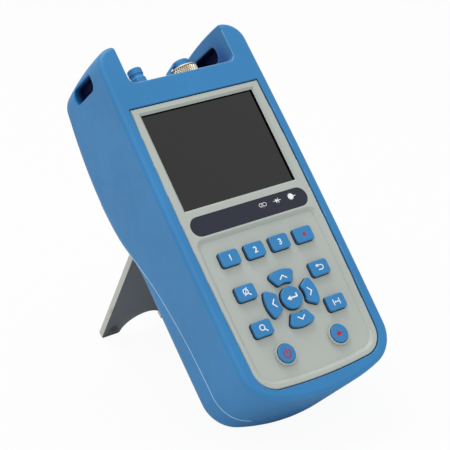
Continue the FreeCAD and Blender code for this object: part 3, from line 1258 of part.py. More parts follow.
piece("hinge_pin", rod("HingePin", ("-%s + 0.1" % wall_half, "stand_hinge", "-" + STAND_AXIS),
                       "pin_radius", "2*%s - 0.2" % wall_half, "X"))
piece("stand_bumpers", *[
    rod("Bumper", (side + "(stand_half + arch_radius)/2", stand_foot + " + 8", stand_inner),
        "2.6", "0.3") for side in ("", "-")], pose=STAND_POSE)

# ---------------------------------------------------------------- outside trim

case_screws = []
for x, y in BOSSES:
    skin = "grip_depth" if y != "boss_high" else "(head_depth - 5.5)"
    seat = "-(%s - case_head_sink)" % skin
    case_screws.append(screw(x, y, seat, "(%s - case_head_sink - seam_depth + 18)" % skin,
                             head="case_head", shank="case_screw"))
piece("case_screws", *case_screws)
piece("rating_label", box("RatingLabel", ("-20", "20"), ("50", "78"),
                          ("-%s - 0.15" % RECESS_FLOOR, "-" + RECESS_FLOOR)))

# ---------------------------------------------------------------- checks and export

doc.recompute()
for item in doc.Objects:
    assert not {"Invalid", "Error"} & set(item.State), "%s failed" % item.Label
for item in PIECES:
    assert not item.Shape.isNull() and item.Shape.isValid(), "%s has no valid shape" % item.Label
for item in PIECES:
    item.Shape.exportStep("parts/%s.step" % item.Label)
print("%d sub-parts written" % len(PIECES))
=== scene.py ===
# %% [markdown]
# # A handheld fibre tester that leans on its own stand
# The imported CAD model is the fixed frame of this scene: its nodes stay where they are, and
# this lesson gives each one a finish and adds what a solid can't show well, such as printed
# marks, knurling, seams and soft edges. Every size is in metres.

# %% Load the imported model
import bmesh
import bpy
import json
import math
import random
from mathutils import Matrix, Vector
from mathutils.geometry import convex_hull_2d


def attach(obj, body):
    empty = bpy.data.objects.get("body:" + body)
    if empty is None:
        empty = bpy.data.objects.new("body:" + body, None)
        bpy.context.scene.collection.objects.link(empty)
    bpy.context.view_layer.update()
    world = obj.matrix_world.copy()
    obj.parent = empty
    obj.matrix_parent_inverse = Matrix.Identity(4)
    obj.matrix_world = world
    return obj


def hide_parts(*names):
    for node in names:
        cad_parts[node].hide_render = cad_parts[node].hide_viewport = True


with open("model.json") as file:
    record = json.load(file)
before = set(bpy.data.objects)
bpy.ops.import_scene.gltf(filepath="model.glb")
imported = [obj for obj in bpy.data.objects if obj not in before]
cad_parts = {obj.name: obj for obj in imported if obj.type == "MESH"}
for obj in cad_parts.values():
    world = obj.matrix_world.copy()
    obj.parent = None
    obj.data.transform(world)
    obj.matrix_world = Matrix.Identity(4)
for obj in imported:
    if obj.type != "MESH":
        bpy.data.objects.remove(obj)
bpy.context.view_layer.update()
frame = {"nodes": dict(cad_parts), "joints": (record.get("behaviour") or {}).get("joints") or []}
MM = 0.001

# %% [markdown]
# The casing leans back. A mark on its front is much easier to draw on a casing that lies
# flat, with Y up the front and Z out of it, and to stand up afterwards. The joints tell how
# far it leans: a key slides straight into the panel, and the stand's hinge is a known place
# on the lying casing.

# %% The lean of the casing
JOINTS = {joint["name"]: joint for joint in frame["joints"]}
KEY_AXIS = Vector(JOINTS["enter_key_press"]["axis"])
LEAN = Matrix.Rotation(math.atan2(KEY_AXIS.y, -KEY_AXIS.z), 4, "X")
HINGE_LYING = Vector((0, 133.6, -54)) * MM
HINGE_PLACE = Vector(JOINTS["stand_hinge"]["pos_m"])
STANDING = Matrix.Translation(HINGE_PLACE - LEAN @ HINGE_LYING) @ LEAN
LYING = STANDING.inverted()


def lying_box(node):
    """Lowest and highest corner of a CAD node on the lying casing."""
    places = [LYING @ vertex.co for vertex in frame["nodes"][node].data.vertices]
    lowest = Vector([min(place[i] for place in places) for i in range(3)])
    highest = Vector([max(place[i] for place in places) for i in range(3)])
    return lowest, highest


PANEL_LOW, PANEL_HIGH = lying_box("front_panel")
print("lean:", round(math.degrees(LEAN.to_euler().x), 2), "degrees")
print("panel:", [round(v / MM, 1) for v in PANEL_HIGH - PANEL_LOW], "mm")

# %% [markdown]
# The camera comes early, because every choice of detail depends on how large it shows. A
# long lens from the front left keeps the sides of the casing nearly parallel.

# %% Camera
CAMERA_PLACE = Vector((-0.3711, -0.5770, 0.3512))
CAMERA_TURN = (69.424, 3.897, -34.670)
CAMERA_LENS = 105.6
SENSOR_WIDTH = 36
camera = bpy.data.objects.new("camera", bpy.data.cameras.new("camera"))
camera.location = CAMERA_PLACE
camera.rotation_euler = [math.radians(angle) for angle in CAMERA_TURN]
camera.data.lens = CAMERA_LENS
camera.data.sensor_width = SENSOR_WIDTH
bpy.context.scene.collection.objects.link(camera)
bpy.context.scene.camera = camera
bpy.context.scene.view_settings.view_transform = "Standard"
print("camera to casing:", round((CAMERA_PLACE - HINGE_PLACE).length, 3), "m")

# %% [markdown]
# A finish is a tree of nodes: each node works out one thing and hands it on. Two small
# helpers keep such trees readable. One feeds a socket, with another node's output or with a
# constant; the other makes a node with its settings and feeds its sockets.

# %% Helpers for node trees
def feed(tree, value, socket):
    """Links a node's output to a socket, or sets a constant there."""
    if isinstance(value, bpy.types.NodeSocket):
        tree.links.new(value, socket)
    else:
        socket.default_value = value


def made(tree, kind, values=(), **settings):
    """A new node with its settings, its sockets fed in order, or by name from a dictionary."""
    node = tree.nodes.new("ShaderNode" + kind)
    for name, value in settings.items():
        setattr(node, name, value)
    for place, value in values.items() if isinstance(values, dict) else enumerate(values):
        feed(tree, value, node.inputs[place])
    return node


def cleared_tree(owner):
    """The node tree of a world or material, emptied."""
    owner.use_nodes = True
    owner.node_tree.nodes.clear()
    return owner.node_tree


print("helpers for node trees are ready")

# %% [markdown]
# The studio is a white table under a soft white sky. Light Path lets the camera, gloss and
# glass see plain white while the light on the object stays at a level where a colour looks
# as it was mixed.

# %% Sky
SKY_LEVEL = 0.66
LIGHT_WHITE = (1.0, 1.0, 1.0, 1)
SEEN_WHITE = (0.99, 0.99, 0.99, 1)
world = bpy.data.worlds.new("studio_sky")
bpy.context.scene.world = world
sky = cleared_tree(world)
lit = made(sky, "Background", (LIGHT_WHITE, SKY_LEVEL))
seen = made(sky, "Background", (SEEN_WHITE,))
path = made(sky, "LightPath").outputs
either = made(sky, "Math", (path["Is Camera Ray"], path["Is Glossy Ray"]), operation="MAXIMUM")
any_ray = made(sky, "Math", (either.outputs[0], path["Is Transmission Ray"]),
               operation="MAXIMUM")
sky_mix = made(sky, "MixShader", (any_ray.outputs[0], lit.outputs[0], seen.outputs[0]))
made(sky, "OutputWorld", (sky_mix.outputs[0],))
print("sky level:", SKY_LEVEL)

# %% [markdown]
# The table is one large sheet, so the camera never sees its end. It is a mix of white paper,
# which takes the casing's soft shadow, and a glow that only the camera sees.

# %% Table
TABLE_SHARE = 0.95
TABLE_PAPER = (0.8, 0.8, 0.8, 1)
TABLE_HALF = 6
table = bpy.data.materials.new("white_table")
top = cleared_tree(table)
paper = made(top, "BsdfDiffuse", (TABLE_PAPER,))
glow = made(top, "Emission", (SEEN_WHITE,))
path = made(top, "LightPath").outputs
share = made(top, "Math", (path["Is Camera Ray"], TABLE_SHARE), operation="MULTIPLY")
table_mix = made(top, "MixShader", (share.outputs[0], paper.outputs[0], glow.outputs[0]))
made(top, "OutputMaterial", (table_mix.outputs[0],))
floor_mesh = bpy.data.meshes.new("table_top")
sheet = bmesh.new()
bmesh.ops.create_grid(sheet, x_segments=1, y_segments=1, size=TABLE_HALF)
sheet.to_mesh(floor_mesh)
sheet.free()
floor = bpy.data.objects.new("table_top", floor_mesh)
floor_mesh.materials.append(table)
bpy.context.scene.collection.objects.link(floor)
print("table:", 2 * TABLE_HALF, "m wide")

# %% [markdown]
# Two large soft lamps give the casing its form: one from the left front, one from above and
# behind. Both look at the middle of the casing.

# %% Lamps
LOOKED_AT = Vector((0, 0, 0.1))


def soft_lamp(name, place, size, power):
    """A square area lamp that looks at the casing."""
    lamp = bpy.data.lights.new(name, "AREA")
    lamp.size = size
    lamp.energy = power
    lamp_object = bpy.data.objects.new(name, lamp)
    lamp_object.location = place
    toward = LOOKED_AT - Vector(place)
    lamp_object.rotation_euler = toward.to_track_quat("-Z", "Y").to_euler()
    bpy.context.scene.collection.objects.link(lamp_object)
    print(name, "at", place, power, "W")


soft_lamp("key_lamp", (-0.9, -1.1, 1.5), 1.0, 8)
soft_lamp("top_lamp", (0.0, 0.5, 1.7), 0.9, 14)

# %% [markdown]
# Colours are given as a screen shows them, and a shader works in linear light, so one helper
# turns the first into the second. The others are the parts that every finish is made of: a
# noise, a ramp that stretches it, and a mix of two colours.

# %% Helpers for colours and patterns
def linear(red, green, blue):
    """A colour from screen values 0 to 255, as linear light."""
    parts = []
    for value in (red, green, blue):
        share = value / 255
        parts.append(share / 12.92 if share <= 0.04045 else ((share + 0.055) / 1.055) ** 2.4)
    return (*parts, 1)


def noise(tree, places, scale, detail=2.0):
    """A noise texture with its lumps spread over the piece's own coordinates."""
    return made(tree, "TexNoise", {"Vector": places, "Scale": scale,
                                   "Detail": detail}).outputs["Fac"]


def ramp(tree, value, start, end, low=0.0, high=1.0, kind="LINEAR"):
    """Maps what lies from start to end to the range from low to high."""
    return made(tree, "MapRange", {"Value": value, "From Min": start, "From Max": end,
                                   "To Min": low, "To Max": high},
                interpolation_type=kind).outputs["Result"]


def mixed(tree, share, first, second):
    """The first colour where the share is 0 and the second where it is 1."""
    return made(tree, "Mix", {"Factor": share, "A": first, "B": second},
                data_type="RGBA").outputs["Result"]


def object_places(tree):
    """Where each point of a piece lies, in metres."""
    return made(tree, "TexCoord").outputs["Object"]


def shade(colour, factor):
    """A colour made darker or lighter."""
    return (*[min(part * factor, 1) for part in colour[:3]], 1)


print("pure white as linear light:", linear(255, 255, 255)[:3])

# %% [markdown]
# Moulded plastic is never one flat colour. A mould with a fine spark-eroded grain leaves
# tiny bumps, and the colour drifts a little over a hand's width. One helper builds that:
# one noise mottles the colour, one makes the grain, and one breaks up the shine.

# %% The moulded finish
NOISE_FROM, NOISE_TO = 0.3, 0.7
MOTTLE_SCALE = 22
SHINE_SCALE = 140
DULLER, GLOSSIER = 0.05, 0.04
SHINE_DETAIL, GRAIN_DETAIL = 4, 1
BUMP_STRENGTH = 0.5


def surface(name, colour, roughness, drift=0.06, grain=2600, depth=0.02, metallic=0.0,
            specular=0.5):
    """A Principled finish with mottled colour, uneven shine and a fine grain."""
    material = bpy.data.materials.new(name)
    material.use_nodes = True
    tree = material.node_tree
    places = object_places(tree)
    mottle = ramp(tree, noise(tree, places, MOTTLE_SCALE), NOISE_FROM, NOISE_TO)
    shine = ramp(tree, noise(tree, places, SHINE_SCALE, SHINE_DETAIL), NOISE_FROM, NOISE_TO,
                 roughness - GLOSSIER, roughness + DULLER)
    bump = made(tree, "Bump", {"Strength": BUMP_STRENGTH, "Distance": depth * MM,
                               "Height": noise(tree, places, grain, GRAIN_DETAIL)})
    for socket, value in {
            "Metallic": metallic, "Specular IOR Level": specular, "Roughness": shine,
            "Base Color": mixed(tree, mottle, shade(colour, 1 - drift), shade(colour, 1 + drift)),
            "Normal": bump.outputs["Normal"]}.items():
        feed(tree, value, tree.nodes["Principled BSDF"].inputs[socket])
    return material


def wear(material, *nodes):
    """Gives CAD nodes a finish through their material slots."""
    for node in nodes:
        for slot in frame["nodes"][node].material_slots:
            slot.material = material


print("mottled over", round(1000 / MOTTLE_SCALE), "mm, shine over", round(1000 / SHINE_SCALE), "mm")

# %% [markdown]
# Where light can't get in, a casing goes darker, and these helpers paint that shade into the
# colour. The height of a point above the panel, or its place along the casing, tells where that is:
# a dot product with the casing's own axis gives it, and a smooth ramp turns it into the share of a
# second colour.

# %% Helpers for shaded finishes
def along_casing(tree, places, axis, low, high):
    """Goes from 0 to 1 between two levels in mm, along an axis of the lying casing."""
    way = STANDING.to_3x3() @ Vector(axis)
    reach = made(tree, "VectorMath", (places, way), operation="DOT_PRODUCT").outputs["Value"]
    start = STANDING.to_translation().dot(way)
    return ramp(tree, reach, start + low * MM, start + high * MM, kind="SMOOTHSTEP")


def product(tree, first, second):
    """Two shares multiplied, so that both limits count."""
    return made(tree, "Math", (first, second), operation="MULTIPLY").outputs[0]


def repainted(material, share, colour):
    """Mixes a colour into a finish, by a share of 0 to 1 that changes over the piece."""
    tree = material.node_tree
    base = tree.nodes["Principled BSDF"].inputs["Base Color"]
    feed(tree, mixed(tree, share, base.links[0].from_socket, colour), base)


print("casing's front stands", round(STANDING.to_translation().z / MM, 1), "mm up at its foot")

# %% [markdown]
# The casing is a satin blue; the panel on it a warm light grey. Rubber parts share the casing's
# blue but scatter more light. Between the ears a painted shade darkens the blue with the depth
# behind the front and towards the foot of the ears, where the ears and the connectors keep the
# light out; two more ramps keep that painted shade above the bay's floor and off the casing's back.

# %% Finishes of the casing
BAY_HALF = 33.9 * MM
BAY_PLAY = 0.3 * MM
BAY_SHADE_BLUE = linear(2, 84, 162)
OUT_OF_CASING, UP_THE_CASING = (0, 0, 1), (0, 1, 0)
BAY_RAMPS = [(OUT_OF_CASING, -0.5, -11), (UP_THE_CASING, 217, 194),
             (UP_THE_CASING, 187, 190), (OUT_OF_CASING, -60, -50)]
casing_blue = surface("casing_blue", linear(44, 123, 179), 0.5, specular=0.4)
rubber_blue = surface("rubber_blue", linear(44, 130, 188), 0.55, grain=1800)
# The stand's plastic is light grey; this dark grey on its plate and ribs is a painted shade.
stand_shade_grey = surface("stand_shade_grey", linear(96, 101, 106), 0.55, drift=0.05, depth=0.03)
# Painted shade between the ears: the blue darkens where the ears and the connectors keep the light
# out.
blue_tree = casing_blue.node_tree
blue_places = object_places(blue_tree)
sideways = made(blue_tree, "SeparateXYZ", (blue_places,)).outputs["X"]
off_middle = made(blue_tree, "Math", (sideways,), operation="ABSOLUTE").outputs[0]
bay_shade_share = made(blue_tree, "Math", (off_middle, BAY_HALF + BAY_PLAY),
                 operation="LESS_THAN").outputs[0]
for axis, start, end in BAY_RAMPS:
    bay_shade_share = product(blue_tree, bay_shade_share,
                        along_casing(blue_tree, blue_places, axis, start, end))
repainted(casing_blue, bay_shade_share, BAY_SHADE_BLUE)
wear(casing_blue, "front_shell", "back_shell")
wear(surface("panel_grey", linear(173, 180, 174), 0.55, drift=0.03), "front_panel")
wear(rubber_blue, "test_cap", "light_cap", "cap_tether", "port_flap")
wear(surface("bumper_rubber", linear(70, 73, 77), 0.7), "stand_bumpers")
print("bay:", round(2 * BAY_HALF / MM, 1), "mm between the ears")

# %% [markdown]
# What is inside gets plain workshop finishes: green boards, black resin, bare steel, amber
# and yellow film. The switched-off display lies behind smooth, nearly black glass, and the
# strip under it is a printed film.

# %% Finishes of what is inside and behind the glass
wear(surface("strip_ink", linear(18, 22, 42), 0.42, drift=0.05, depth=0.01, specular=0.4),
     "label_strip")
wear(surface("display_black", linear(14, 14, 16), 0.3), "display")
wear(surface("cover_glass", linear(5, 5, 8), 0.06, drift=0.02, depth=0.0), "screen_glass")
wear(surface("black_foam", linear(24, 24, 24), 0.9, grain=900, depth=0.1),
     "screen_gasket", "display_pad")
wear(surface("ribbon_amber", linear(150, 96, 40), 0.35), "display_ribbon")
wear(surface("smoky_guide", linear(52, 55, 68), 0.25), "lamp_guides")
wear(surface("grey_silicone", linear(150, 152, 155), 0.6), "keypad_mat")
wear(surface("bright_steel", linear(190, 190, 188), 0.3, metallic=1.0),
     "dome_switches", "key_board_screws", "board_screws", "plate_screws", "hinge_pin")
wear(surface("board_green", linear(28, 96, 58), 0.35), "key_board", "main_board")
wear(surface("black_resin", linear(30, 30, 31), 0.45),
     "keypad_connector", "board_chips", "buzzer", "charger_jack", "usb_socket",
     "battery_sleeve")
wear(surface("module_metal", linear(196, 198, 200), 0.4, metallic=1.0),
     "optical_module", "laser_diode")
wear(surface("spool_plastic", linear(205, 203, 196), 0.5), "fibre_spool")
wear(surface("fibre_yellow", linear(226, 190, 60), 0.4), "fibre_coil", "pigtail")
wear(surface("cell_film", linear(40, 130, 140), 0.35), "battery_cells")
wear(surface("port_metal", linear(120, 122, 126), 0.4, metallic=1.0), "port_plate")
wear(surface("nickel", linear(214, 206, 188), 0.25, metallic=1.0), "test_port", "light_port")
wear(surface("ceramic", linear(235, 232, 222), 0.2), "test_sleeve", "light_sleeve")
wear(surface("dark_steel", linear(70, 70, 72), 0.4, metallic=1.0), "case_screws")
wear(surface("label_film", linear(196, 198, 198), 0.35), "rating_label")
print("finishes so far:", len(bpy.data.materials))

# %% [markdown]
# Every new piece starts as a bmesh on the lying casing. One helper stands it up and makes it
# a piece that rides on a body. The next takes a CAD node's shape and merges its flat facets
# back into whole faces, so that it can be finished and stand for the node. The last joins
# rings of vertices with faces, for everything that is long and round.

# %% Helpers for modelled pieces
FACET_ANGLE = math.radians(0.6)
SAME_PLACE = 0.001 * MM


def new_piece(name, builder, material, body, stand_up=STANDING):
    """A piece of the scene, from a bmesh drawn on the lying casing."""
    bmesh.ops.transform(builder, matrix=stand_up, verts=builder.verts)
    mesh = bpy.data.meshes.new(name)
    builder.to_mesh(mesh)
    builder.free()
    mesh.materials.append(material)
    piece = bpy.data.objects.new(name, mesh)
    bpy.context.scene.collection.objects.link(piece)
    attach(piece, body)
    return piece


def whole_faces(node):
    """The shape of a CAD node as a bmesh on the lying casing, with its flat faces whole."""
    builder = bmesh.new()
    builder.from_mesh(frame["nodes"][node].data)
    bmesh.ops.remove_doubles(builder, verts=builder.verts, dist=SAME_PLACE)
    bmesh.ops.dissolve_limit(builder, angle_limit=FACET_ANGLE,
                             verts=builder.verts, edges=builder.edges)
    bmesh.ops.transform(builder, matrix=LYING, verts=builder.verts)
    return builder


def join_rings(builder, rings, closed=False):
    """Faces from each ring to the next, and from the last to the first if it is closed."""
    row = rings + rings[:1] if closed else rings
    for ring, following in zip(row, row[1:]):
        for i, vertex in enumerate(ring):
            after = (i + 1) % len(ring)
            builder.faces.new((vertex, ring[after], following[after], following[i]))


print("pieces stand up by", [round(v / MM, 1) for v in STANDING.to_translation()], "mm")

# %% [markdown]
# The keys are one blue with a tight roll round each top, which the CAD already has. An inset
# ring of faces just inside the roll keeps the top flat when the piece is shaded smooth.
# Where the key goes down into the panel its blue is painted much darker, a painted shade, since
# little light gets in there. The height over the panel, read along the key's own axis, picks the
# tone.

# %% Keys with rolled tops
KEYS = [name for name in frame["nodes"] if name.endswith("_key")]
KEY_SHADE_NAVY = linear(10, 24, 50)
KEY_LIT, KEY_DARK = 1.15, -1.2
HOLDING_RING = 0.12 * MM
LEVEL_FACE = 0.999
key_finish = surface("key_rubber", linear(36, 121, 178), 0.42, drift=0.05)
key_tree = key_finish.node_tree
# Painted shade: the blue goes navy towards the key's foot, where little light gets in.
repainted(key_finish, along_casing(key_tree, object_places(key_tree), OUT_OF_CASING,
                                   KEY_LIT, KEY_DARK), KEY_SHADE_NAVY)
for key in KEYS:
    shape = whole_faces(key)
    top_face = max((face for face in shape.faces if face.normal.z > LEVEL_FACE),
                   key=lambda face: face.calc_center_median().z)
    bmesh.ops.inset_region(shape, faces=[top_face], thickness=HOLDING_RING)
    for face in shape.faces:
        face.smooth = True
    piece = new_piece("rolled_" + key, shape, key_finish, key)
    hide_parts(key)
print("keys:", len(KEYS), "tops at", round(lying_box("enter_key")[1].z / MM, 2), "mm")

# %% [markdown]
# The marks on the keys and on the strip are printed: hardly any thickness, crisp edges. A
# helper makes a line of even width out of its middle points, with mitred corners; another
# gives the points of an arc, and another fills an outline.

# %% Helpers for drawing marks
SHARPEST_MITRE = 0.4
ARC_STEPS = 28


def stroke(builder, points, width, closed=False):
    """A flat line of even width through points in millimetres."""
    path = [Vector(point) * MM for point in points]
    count = len(path)
    rails = []
    for i, place in enumerate(path):
        before = path[i - 1] if i > 0 or closed else None
        after = path[(i + 1) % count] if i < count - 1 or closed else None
        ways = []
        if before is not None:
            ways.append((place - before).normalized())
        if after is not None:
            ways.append((after - place).normalized())
        way = sum(ways, Vector((0, 0))).normalized()
        side = Vector((-way.y, way.x))
        lean = abs(side.dot(Vector((-ways[0].y, ways[0].x))))
        reach = width * MM / 2 / max(lean, SHARPEST_MITRE)
        rails.append((builder.verts.new((*(place + side * reach), 0)),
                      builder.verts.new((*(place - side * reach), 0))))
    last = count if closed else count - 1
    for i in range(last):
        left, right = rails[i]
        next_left, next_right = rails[(i + 1) % count]
        builder.faces.new((left, right, next_right, next_left))


def around(x, y, radius, start=0, end=360, steps=ARC_STEPS):
    """Points on an arc, in millimetres and degrees; a full turn leaves out its last point."""
    turns = steps if abs(end - start) >= 360 else steps + 1
    return [(x + radius * math.cos(math.radians(start + (end - start) * i / steps)),
             y + radius * math.sin(math.radians(start + (end - start) * i / steps)))
            for i in range(turns)]


def filled(builder, points):
    """A flat filled outline through points in millimetres."""
    builder.faces.new([builder.verts.new((x * MM, y * MM, 0)) for x, y in points])


print("a full turn has", len(around(0, 0, 1)), "points")

# %% [markdown]
# A numeral comes from Blender's own font, made a mesh at once. Every mark is then extruded
# to the thickness of the ink and laid on its key.

# %% Numerals and the layer of ink
PRINT_THICK = 0.04 * MM
NUMERAL_HIGH = 3.3
CAPITAL_SHARE = 0.7
NUMERAL_FATTER = 0.1 * MM


def numeral(builder, digit):
    """A plain upright numeral, its middle at the origin."""
    curve = bpy.data.curves.new("numeral", "FONT")
    curve.body = digit
    curve.size = NUMERAL_HIGH * MM / CAPITAL_SHARE
    curve.offset = NUMERAL_FATTER
    curve.resolution_u = 4
    text = bpy.data.objects.new("numeral", curve)
    mesh = bpy.data.meshes.new_from_object(text)
    places = [vertex.co for vertex in mesh.vertices]
    middle = Vector([(min(place[i] for place in places) + max(place[i] for place in places)) / 2
                     for i in range(3)])
    mesh.transform(Matrix.Translation(-middle))
    builder.from_mesh(mesh)
    bpy.data.objects.remove(text)
    bpy.data.curves.remove(curve)
    bpy.data.meshes.remove(mesh)


def print_mark(name, builder, place, material, body):
    """Gives a drawn mark its thickness and lays it on the lying casing at a place."""
    flat = bmesh.ops.extrude_face_region(builder, geom=list(builder.faces))
    risen = [item for item in flat["geom"] if isinstance(item, bmesh.types.BMVert)]
    bmesh.ops.translate(builder, vec=(0, 0, PRINT_THICK), verts=risen)
    bmesh.ops.recalc_face_normals(builder, faces=builder.faces)
    return new_piece(name, builder, material, body, STANDING @ Matrix.Translation(place))


white_ink = surface("white_ink", linear(236, 240, 240), 0.5, drift=0.02, depth=0.004)
red_ink = surface("red_ink", linear(168, 0, 30), 0.5, drift=0.04, depth=0.004)
print("ink layer:", PRINT_THICK / MM, "mm")

# %% [markdown]
# Three keys of the top row carry plain numerals and the fourth a red one; the others have
# the usual signs: chevrons on the ring, a return arrow, magnifying glasses, a way back, two
# marker lines, the power sign and a burst of light.

# %% Shapes of the signs
INK_WIDTH = 0.5
BOLD = 0.6
HEAVY = 0.75
CHEVRON = [(-1.0, 2.3), (1.0, 0), (-1.0, -2.3)]
BURST_POINTS = 20


def chevron(builder, turn):
    """An angle bracket that points the way of turn, in degrees."""
    cos, sin = math.cos(math.radians(turn)), math.sin(math.radians(turn))
    stroke(builder, [(x * cos - y * sin, x * sin + y * cos) for x, y in CHEVRON], BOLD)


def lens(builder, crossed=False):
    """A magnifying glass, crossed out where it takes the enlargement back."""
    stroke(builder, around(-0.4, 0.4, 1.45), INK_WIDTH, closed=True)
    stroke(builder, [(0.7, -0.7), (2.2, -2.1)], BOLD)
    if crossed:
        stroke(builder, [(-1.5, -1.8), (0.9, 2.5)], 0.45)


def return_arrow(builder):
    stroke(builder, [(3.0, 1.8), (3.0, -0.2), (-1.3, -0.2)], HEAVY)
    filled(builder, [(-3.3, -0.2), (-1.0, -1.6), (-1.0, 1.2)])


def way_back(builder):
    stroke(builder, [(-1.3, -1.3)] + around(0.7, 0, 1.3, -90, 90, 14) + [(-1.2, 1.3)], INK_WIDTH)
    filled(builder, [(-2.5, 1.3), (-1.0, 2.3), (-1.0, 0.3)])


def marker_lines(builder):
    for x in (-1.9, 1.9):
        stroke(builder, [(x, -1.7), (x, 1.7)], INK_WIDTH)
    stroke(builder, [(-0.7, 0), (0.7, 0)], 0.4)
    filled(builder, [(-1.45, 0), (-0.6, -0.7), (-0.6, 0.7)])
    filled(builder, [(1.45, 0), (0.6, 0.7), (0.6, -0.7)])


def power_sign(builder):
    stroke(builder, around(0, -0.3, 2.15, 122, 418, 30), HEAVY)
    stroke(builder, [(0, -0.1), (0, 2.7)], 0.8)


def burst(builder, x, long_ray, short_ray):
    """A star of pointed rays, long and short by turns."""
    part = 360 / BURST_POINTS
    filled(builder, [around(x, 0, long_ray if i % 2 else short_ray, i * part, i * part, 1)[0]
                     for i in range(BURST_POINTS)])


def light_burst(builder):
    burst(builder, -0.8, 1.9, 0.95)
    stroke(builder, [(0.2, 0), (2.9, 0)], 0.55)


print("ink is", INK_WIDTH, "to", HEAVY, "mm wide")

# %% [markdown]
# A table says which ink, which sign and which detail each key gets. Its box on the lying
# casing tells where the middle of its top is.

# %% Signs on the keys
MARKS = {
    "menu_key": (white_ink, numeral, "1"),
    "file_key": (white_ink, numeral, "2"),
    "info_key": (white_ink, numeral, "3"),
    "light_key": (red_ink, numeral, "4"),
    "zoom_off_key": (white_ink, lens, True),
    "zoom_key": (white_ink, lens),
    "escape_key": (white_ink, way_back),
    "marker_key": (white_ink, marker_lines),
    "enter_key": (white_ink, return_arrow),
    "right_key": (white_ink, chevron, 0),
    "up_key": (white_ink, chevron, 90),
    "left_key": (white_ink, chevron, 180),
    "down_key": (white_ink, chevron, 270),
    "power_key": (red_ink, power_sign),
    "laser_key": (red_ink, light_burst),
}
for key, (ink, draw, *details) in MARKS.items():
    sign = bmesh.new()
    draw(sign, *details)
    low, high = lying_box(key)
    middle = Vector(((low.x + high.x) / 2, (low.y + high.y) / 2, high.z))
    print_mark("sign_on_" + key, sign, middle, ink, key)
print("signs:", len(MARKS))

# %% [markdown]
# The dark strip under the screen shows three state signs over its lamps: a battery, a plug
# on its line, and a lit laser. The lamps are off, so their light guides are smoky dark.

# %% Signs on the dark strip
strip_low, strip_high = lying_box("label_strip")
lamp_low, lamp_high = lying_box("lamp_guides")
LAMP_RADIUS = (lamp_high.y - lamp_low.y) / 2
LAMPS = [lamp_low.x + LAMP_RADIUS + i * (lamp_high.x - lamp_low.x - 2 * LAMP_RADIUS) / 2
         for i in range(3)]


def battery_sign(builder):
    for x in (-1.15, 1.15):
        stroke(builder, around(x - 0.2, 0, 1.0, 90, 270, 8) + around(x + 0.2, 0, 1.0, -90, 90, 8),
               0.26, closed=True)
    stroke(builder, [(-0.9, -0.5), (-0.9, 0.5)], 0.3)


def plug_sign(builder):
    stroke(builder, [(-2.5, 0), (-0.9, 0)], 0.3)
    filled(builder, [(-0.9, -1.25), (0.7, 0), (-0.9, 1.25)])
    stroke(builder, [(0.85, -1.35), (0.85, 1.35)], 0.4)
    stroke(builder, [(1.05, 0), (2.5, 0)], 0.3)


def laser_sign(builder):
    burst(builder, -0.2, 2.1, 1.45)
    stroke(builder, [(1.5, 0), (3.0, 0)], 0.4)


SIGNS_ABOVE_LAMPS = 1.5 * MM
strip_middle = (strip_low.y + strip_high.y) / 2
STRIP_SIGNS = (("battery", battery_sign), ("plug", plug_sign), ("laser", laser_sign))
for x, (what, draw) in zip(LAMPS, STRIP_SIGNS):
    sign = bmesh.new()
    draw(sign)
    place = Vector((x, strip_middle + SIGNS_ABOVE_LAMPS, strip_high.z))
    print_mark("strip_sign_" + what, sign, place, white_ink, "casing")
print("lamps at", [round(x / MM, 1) for x in LAMPS], "mm")

# %% [markdown]
# Lines make a casing read as an assembly: the dark gap round the panel, with a painted shadow at
# its floor, and the lip where the two shells meet, with a painted highlight on it. Each is a thin
# tube or ribbon.

# %% Helpers for thin lines
TUBE_SIDES = 6


def tube(builder, places, radius):
    """A thin tube through places in metres, its ends closed."""
    rings = []
    for i, place in enumerate(places):
        way = (places[min(i + 1, len(places) - 1)] - places[max(i - 1, 0)]).normalized()
        side = way.cross(Vector((0, 0, 1))).normalized()
        rise = side.cross(way)
        turns = [2 * math.pi * j / TUBE_SIDES for j in range(TUBE_SIDES)]
        rings.append([builder.verts.new(place + radius * (
            side * math.cos(turn) + rise * math.sin(turn))) for turn in turns])
    join_rings(builder, rings)
    builder.faces.new(rings[0])
    builder.faces.new(rings[-1])
    bmesh.ops.recalc_face_normals(builder, faces=builder.faces)
    for face in builder.faces:
        face.smooth = True


def ribbon(builder, inner, outer, kept=lambda place: True):
    """A flat ribbon between two outlines of the same number of places, where a test keeps it."""
    count = len(inner)
    rails = [[builder.verts.new(place) for place in outline] for outline in (inner, outer)]
    for i in range(count):
        following = (i + 1) % count
        if kept((inner[i] + inner[following]) / 2):
            builder.faces.new((rails[0][i], rails[1][i], rails[1][following],
                               rails[0][following]))
    bmesh.ops.delete(builder, geom=[vertex for vertex in builder.verts
                                    if not vertex.link_faces], context="VERTS")
    bmesh.ops.recalc_face_normals(builder, faces=builder.faces)


print("tubes have", TUBE_SIDES, "sides")

# %% [markdown]
# The panel's outline is read from its own solid: all its places between two heights, seen
# from the front, and the smallest outline round them. It can then be grown by the play.

# %% Outline of the panel
NEAREST = 0.05 * MM


def outline_of(node, low, high):
    """The outline round a node between two heights of the lying casing; it has no hollows."""
    places = [LYING @ vertex.co for vertex in frame["nodes"][node].data.vertices]
    between = [Vector((place.x, place.y)) for place in places if low < place.z < high]
    outline = [between[i] for i in convex_hull_2d(between)]
    kept = [place for i, place in enumerate(outline)
            if (place - outline[i - 1]).length > NEAREST]
    turn = sum(kept[i - 1].cross(place) for i, place in enumerate(kept))
    return kept if turn > 0 else kept[::-1]


def grown(outline, reach):
    """An outline moved outwards by reach, along the turn between its neighbours."""
    moved = []
    for i, place in enumerate(outline):
        way = (outline[(i + 1) % len(outline)] - outline[i - 1]).normalized()
        moved.append(place + Vector((way.y, -way.x)) * reach)
    return moved


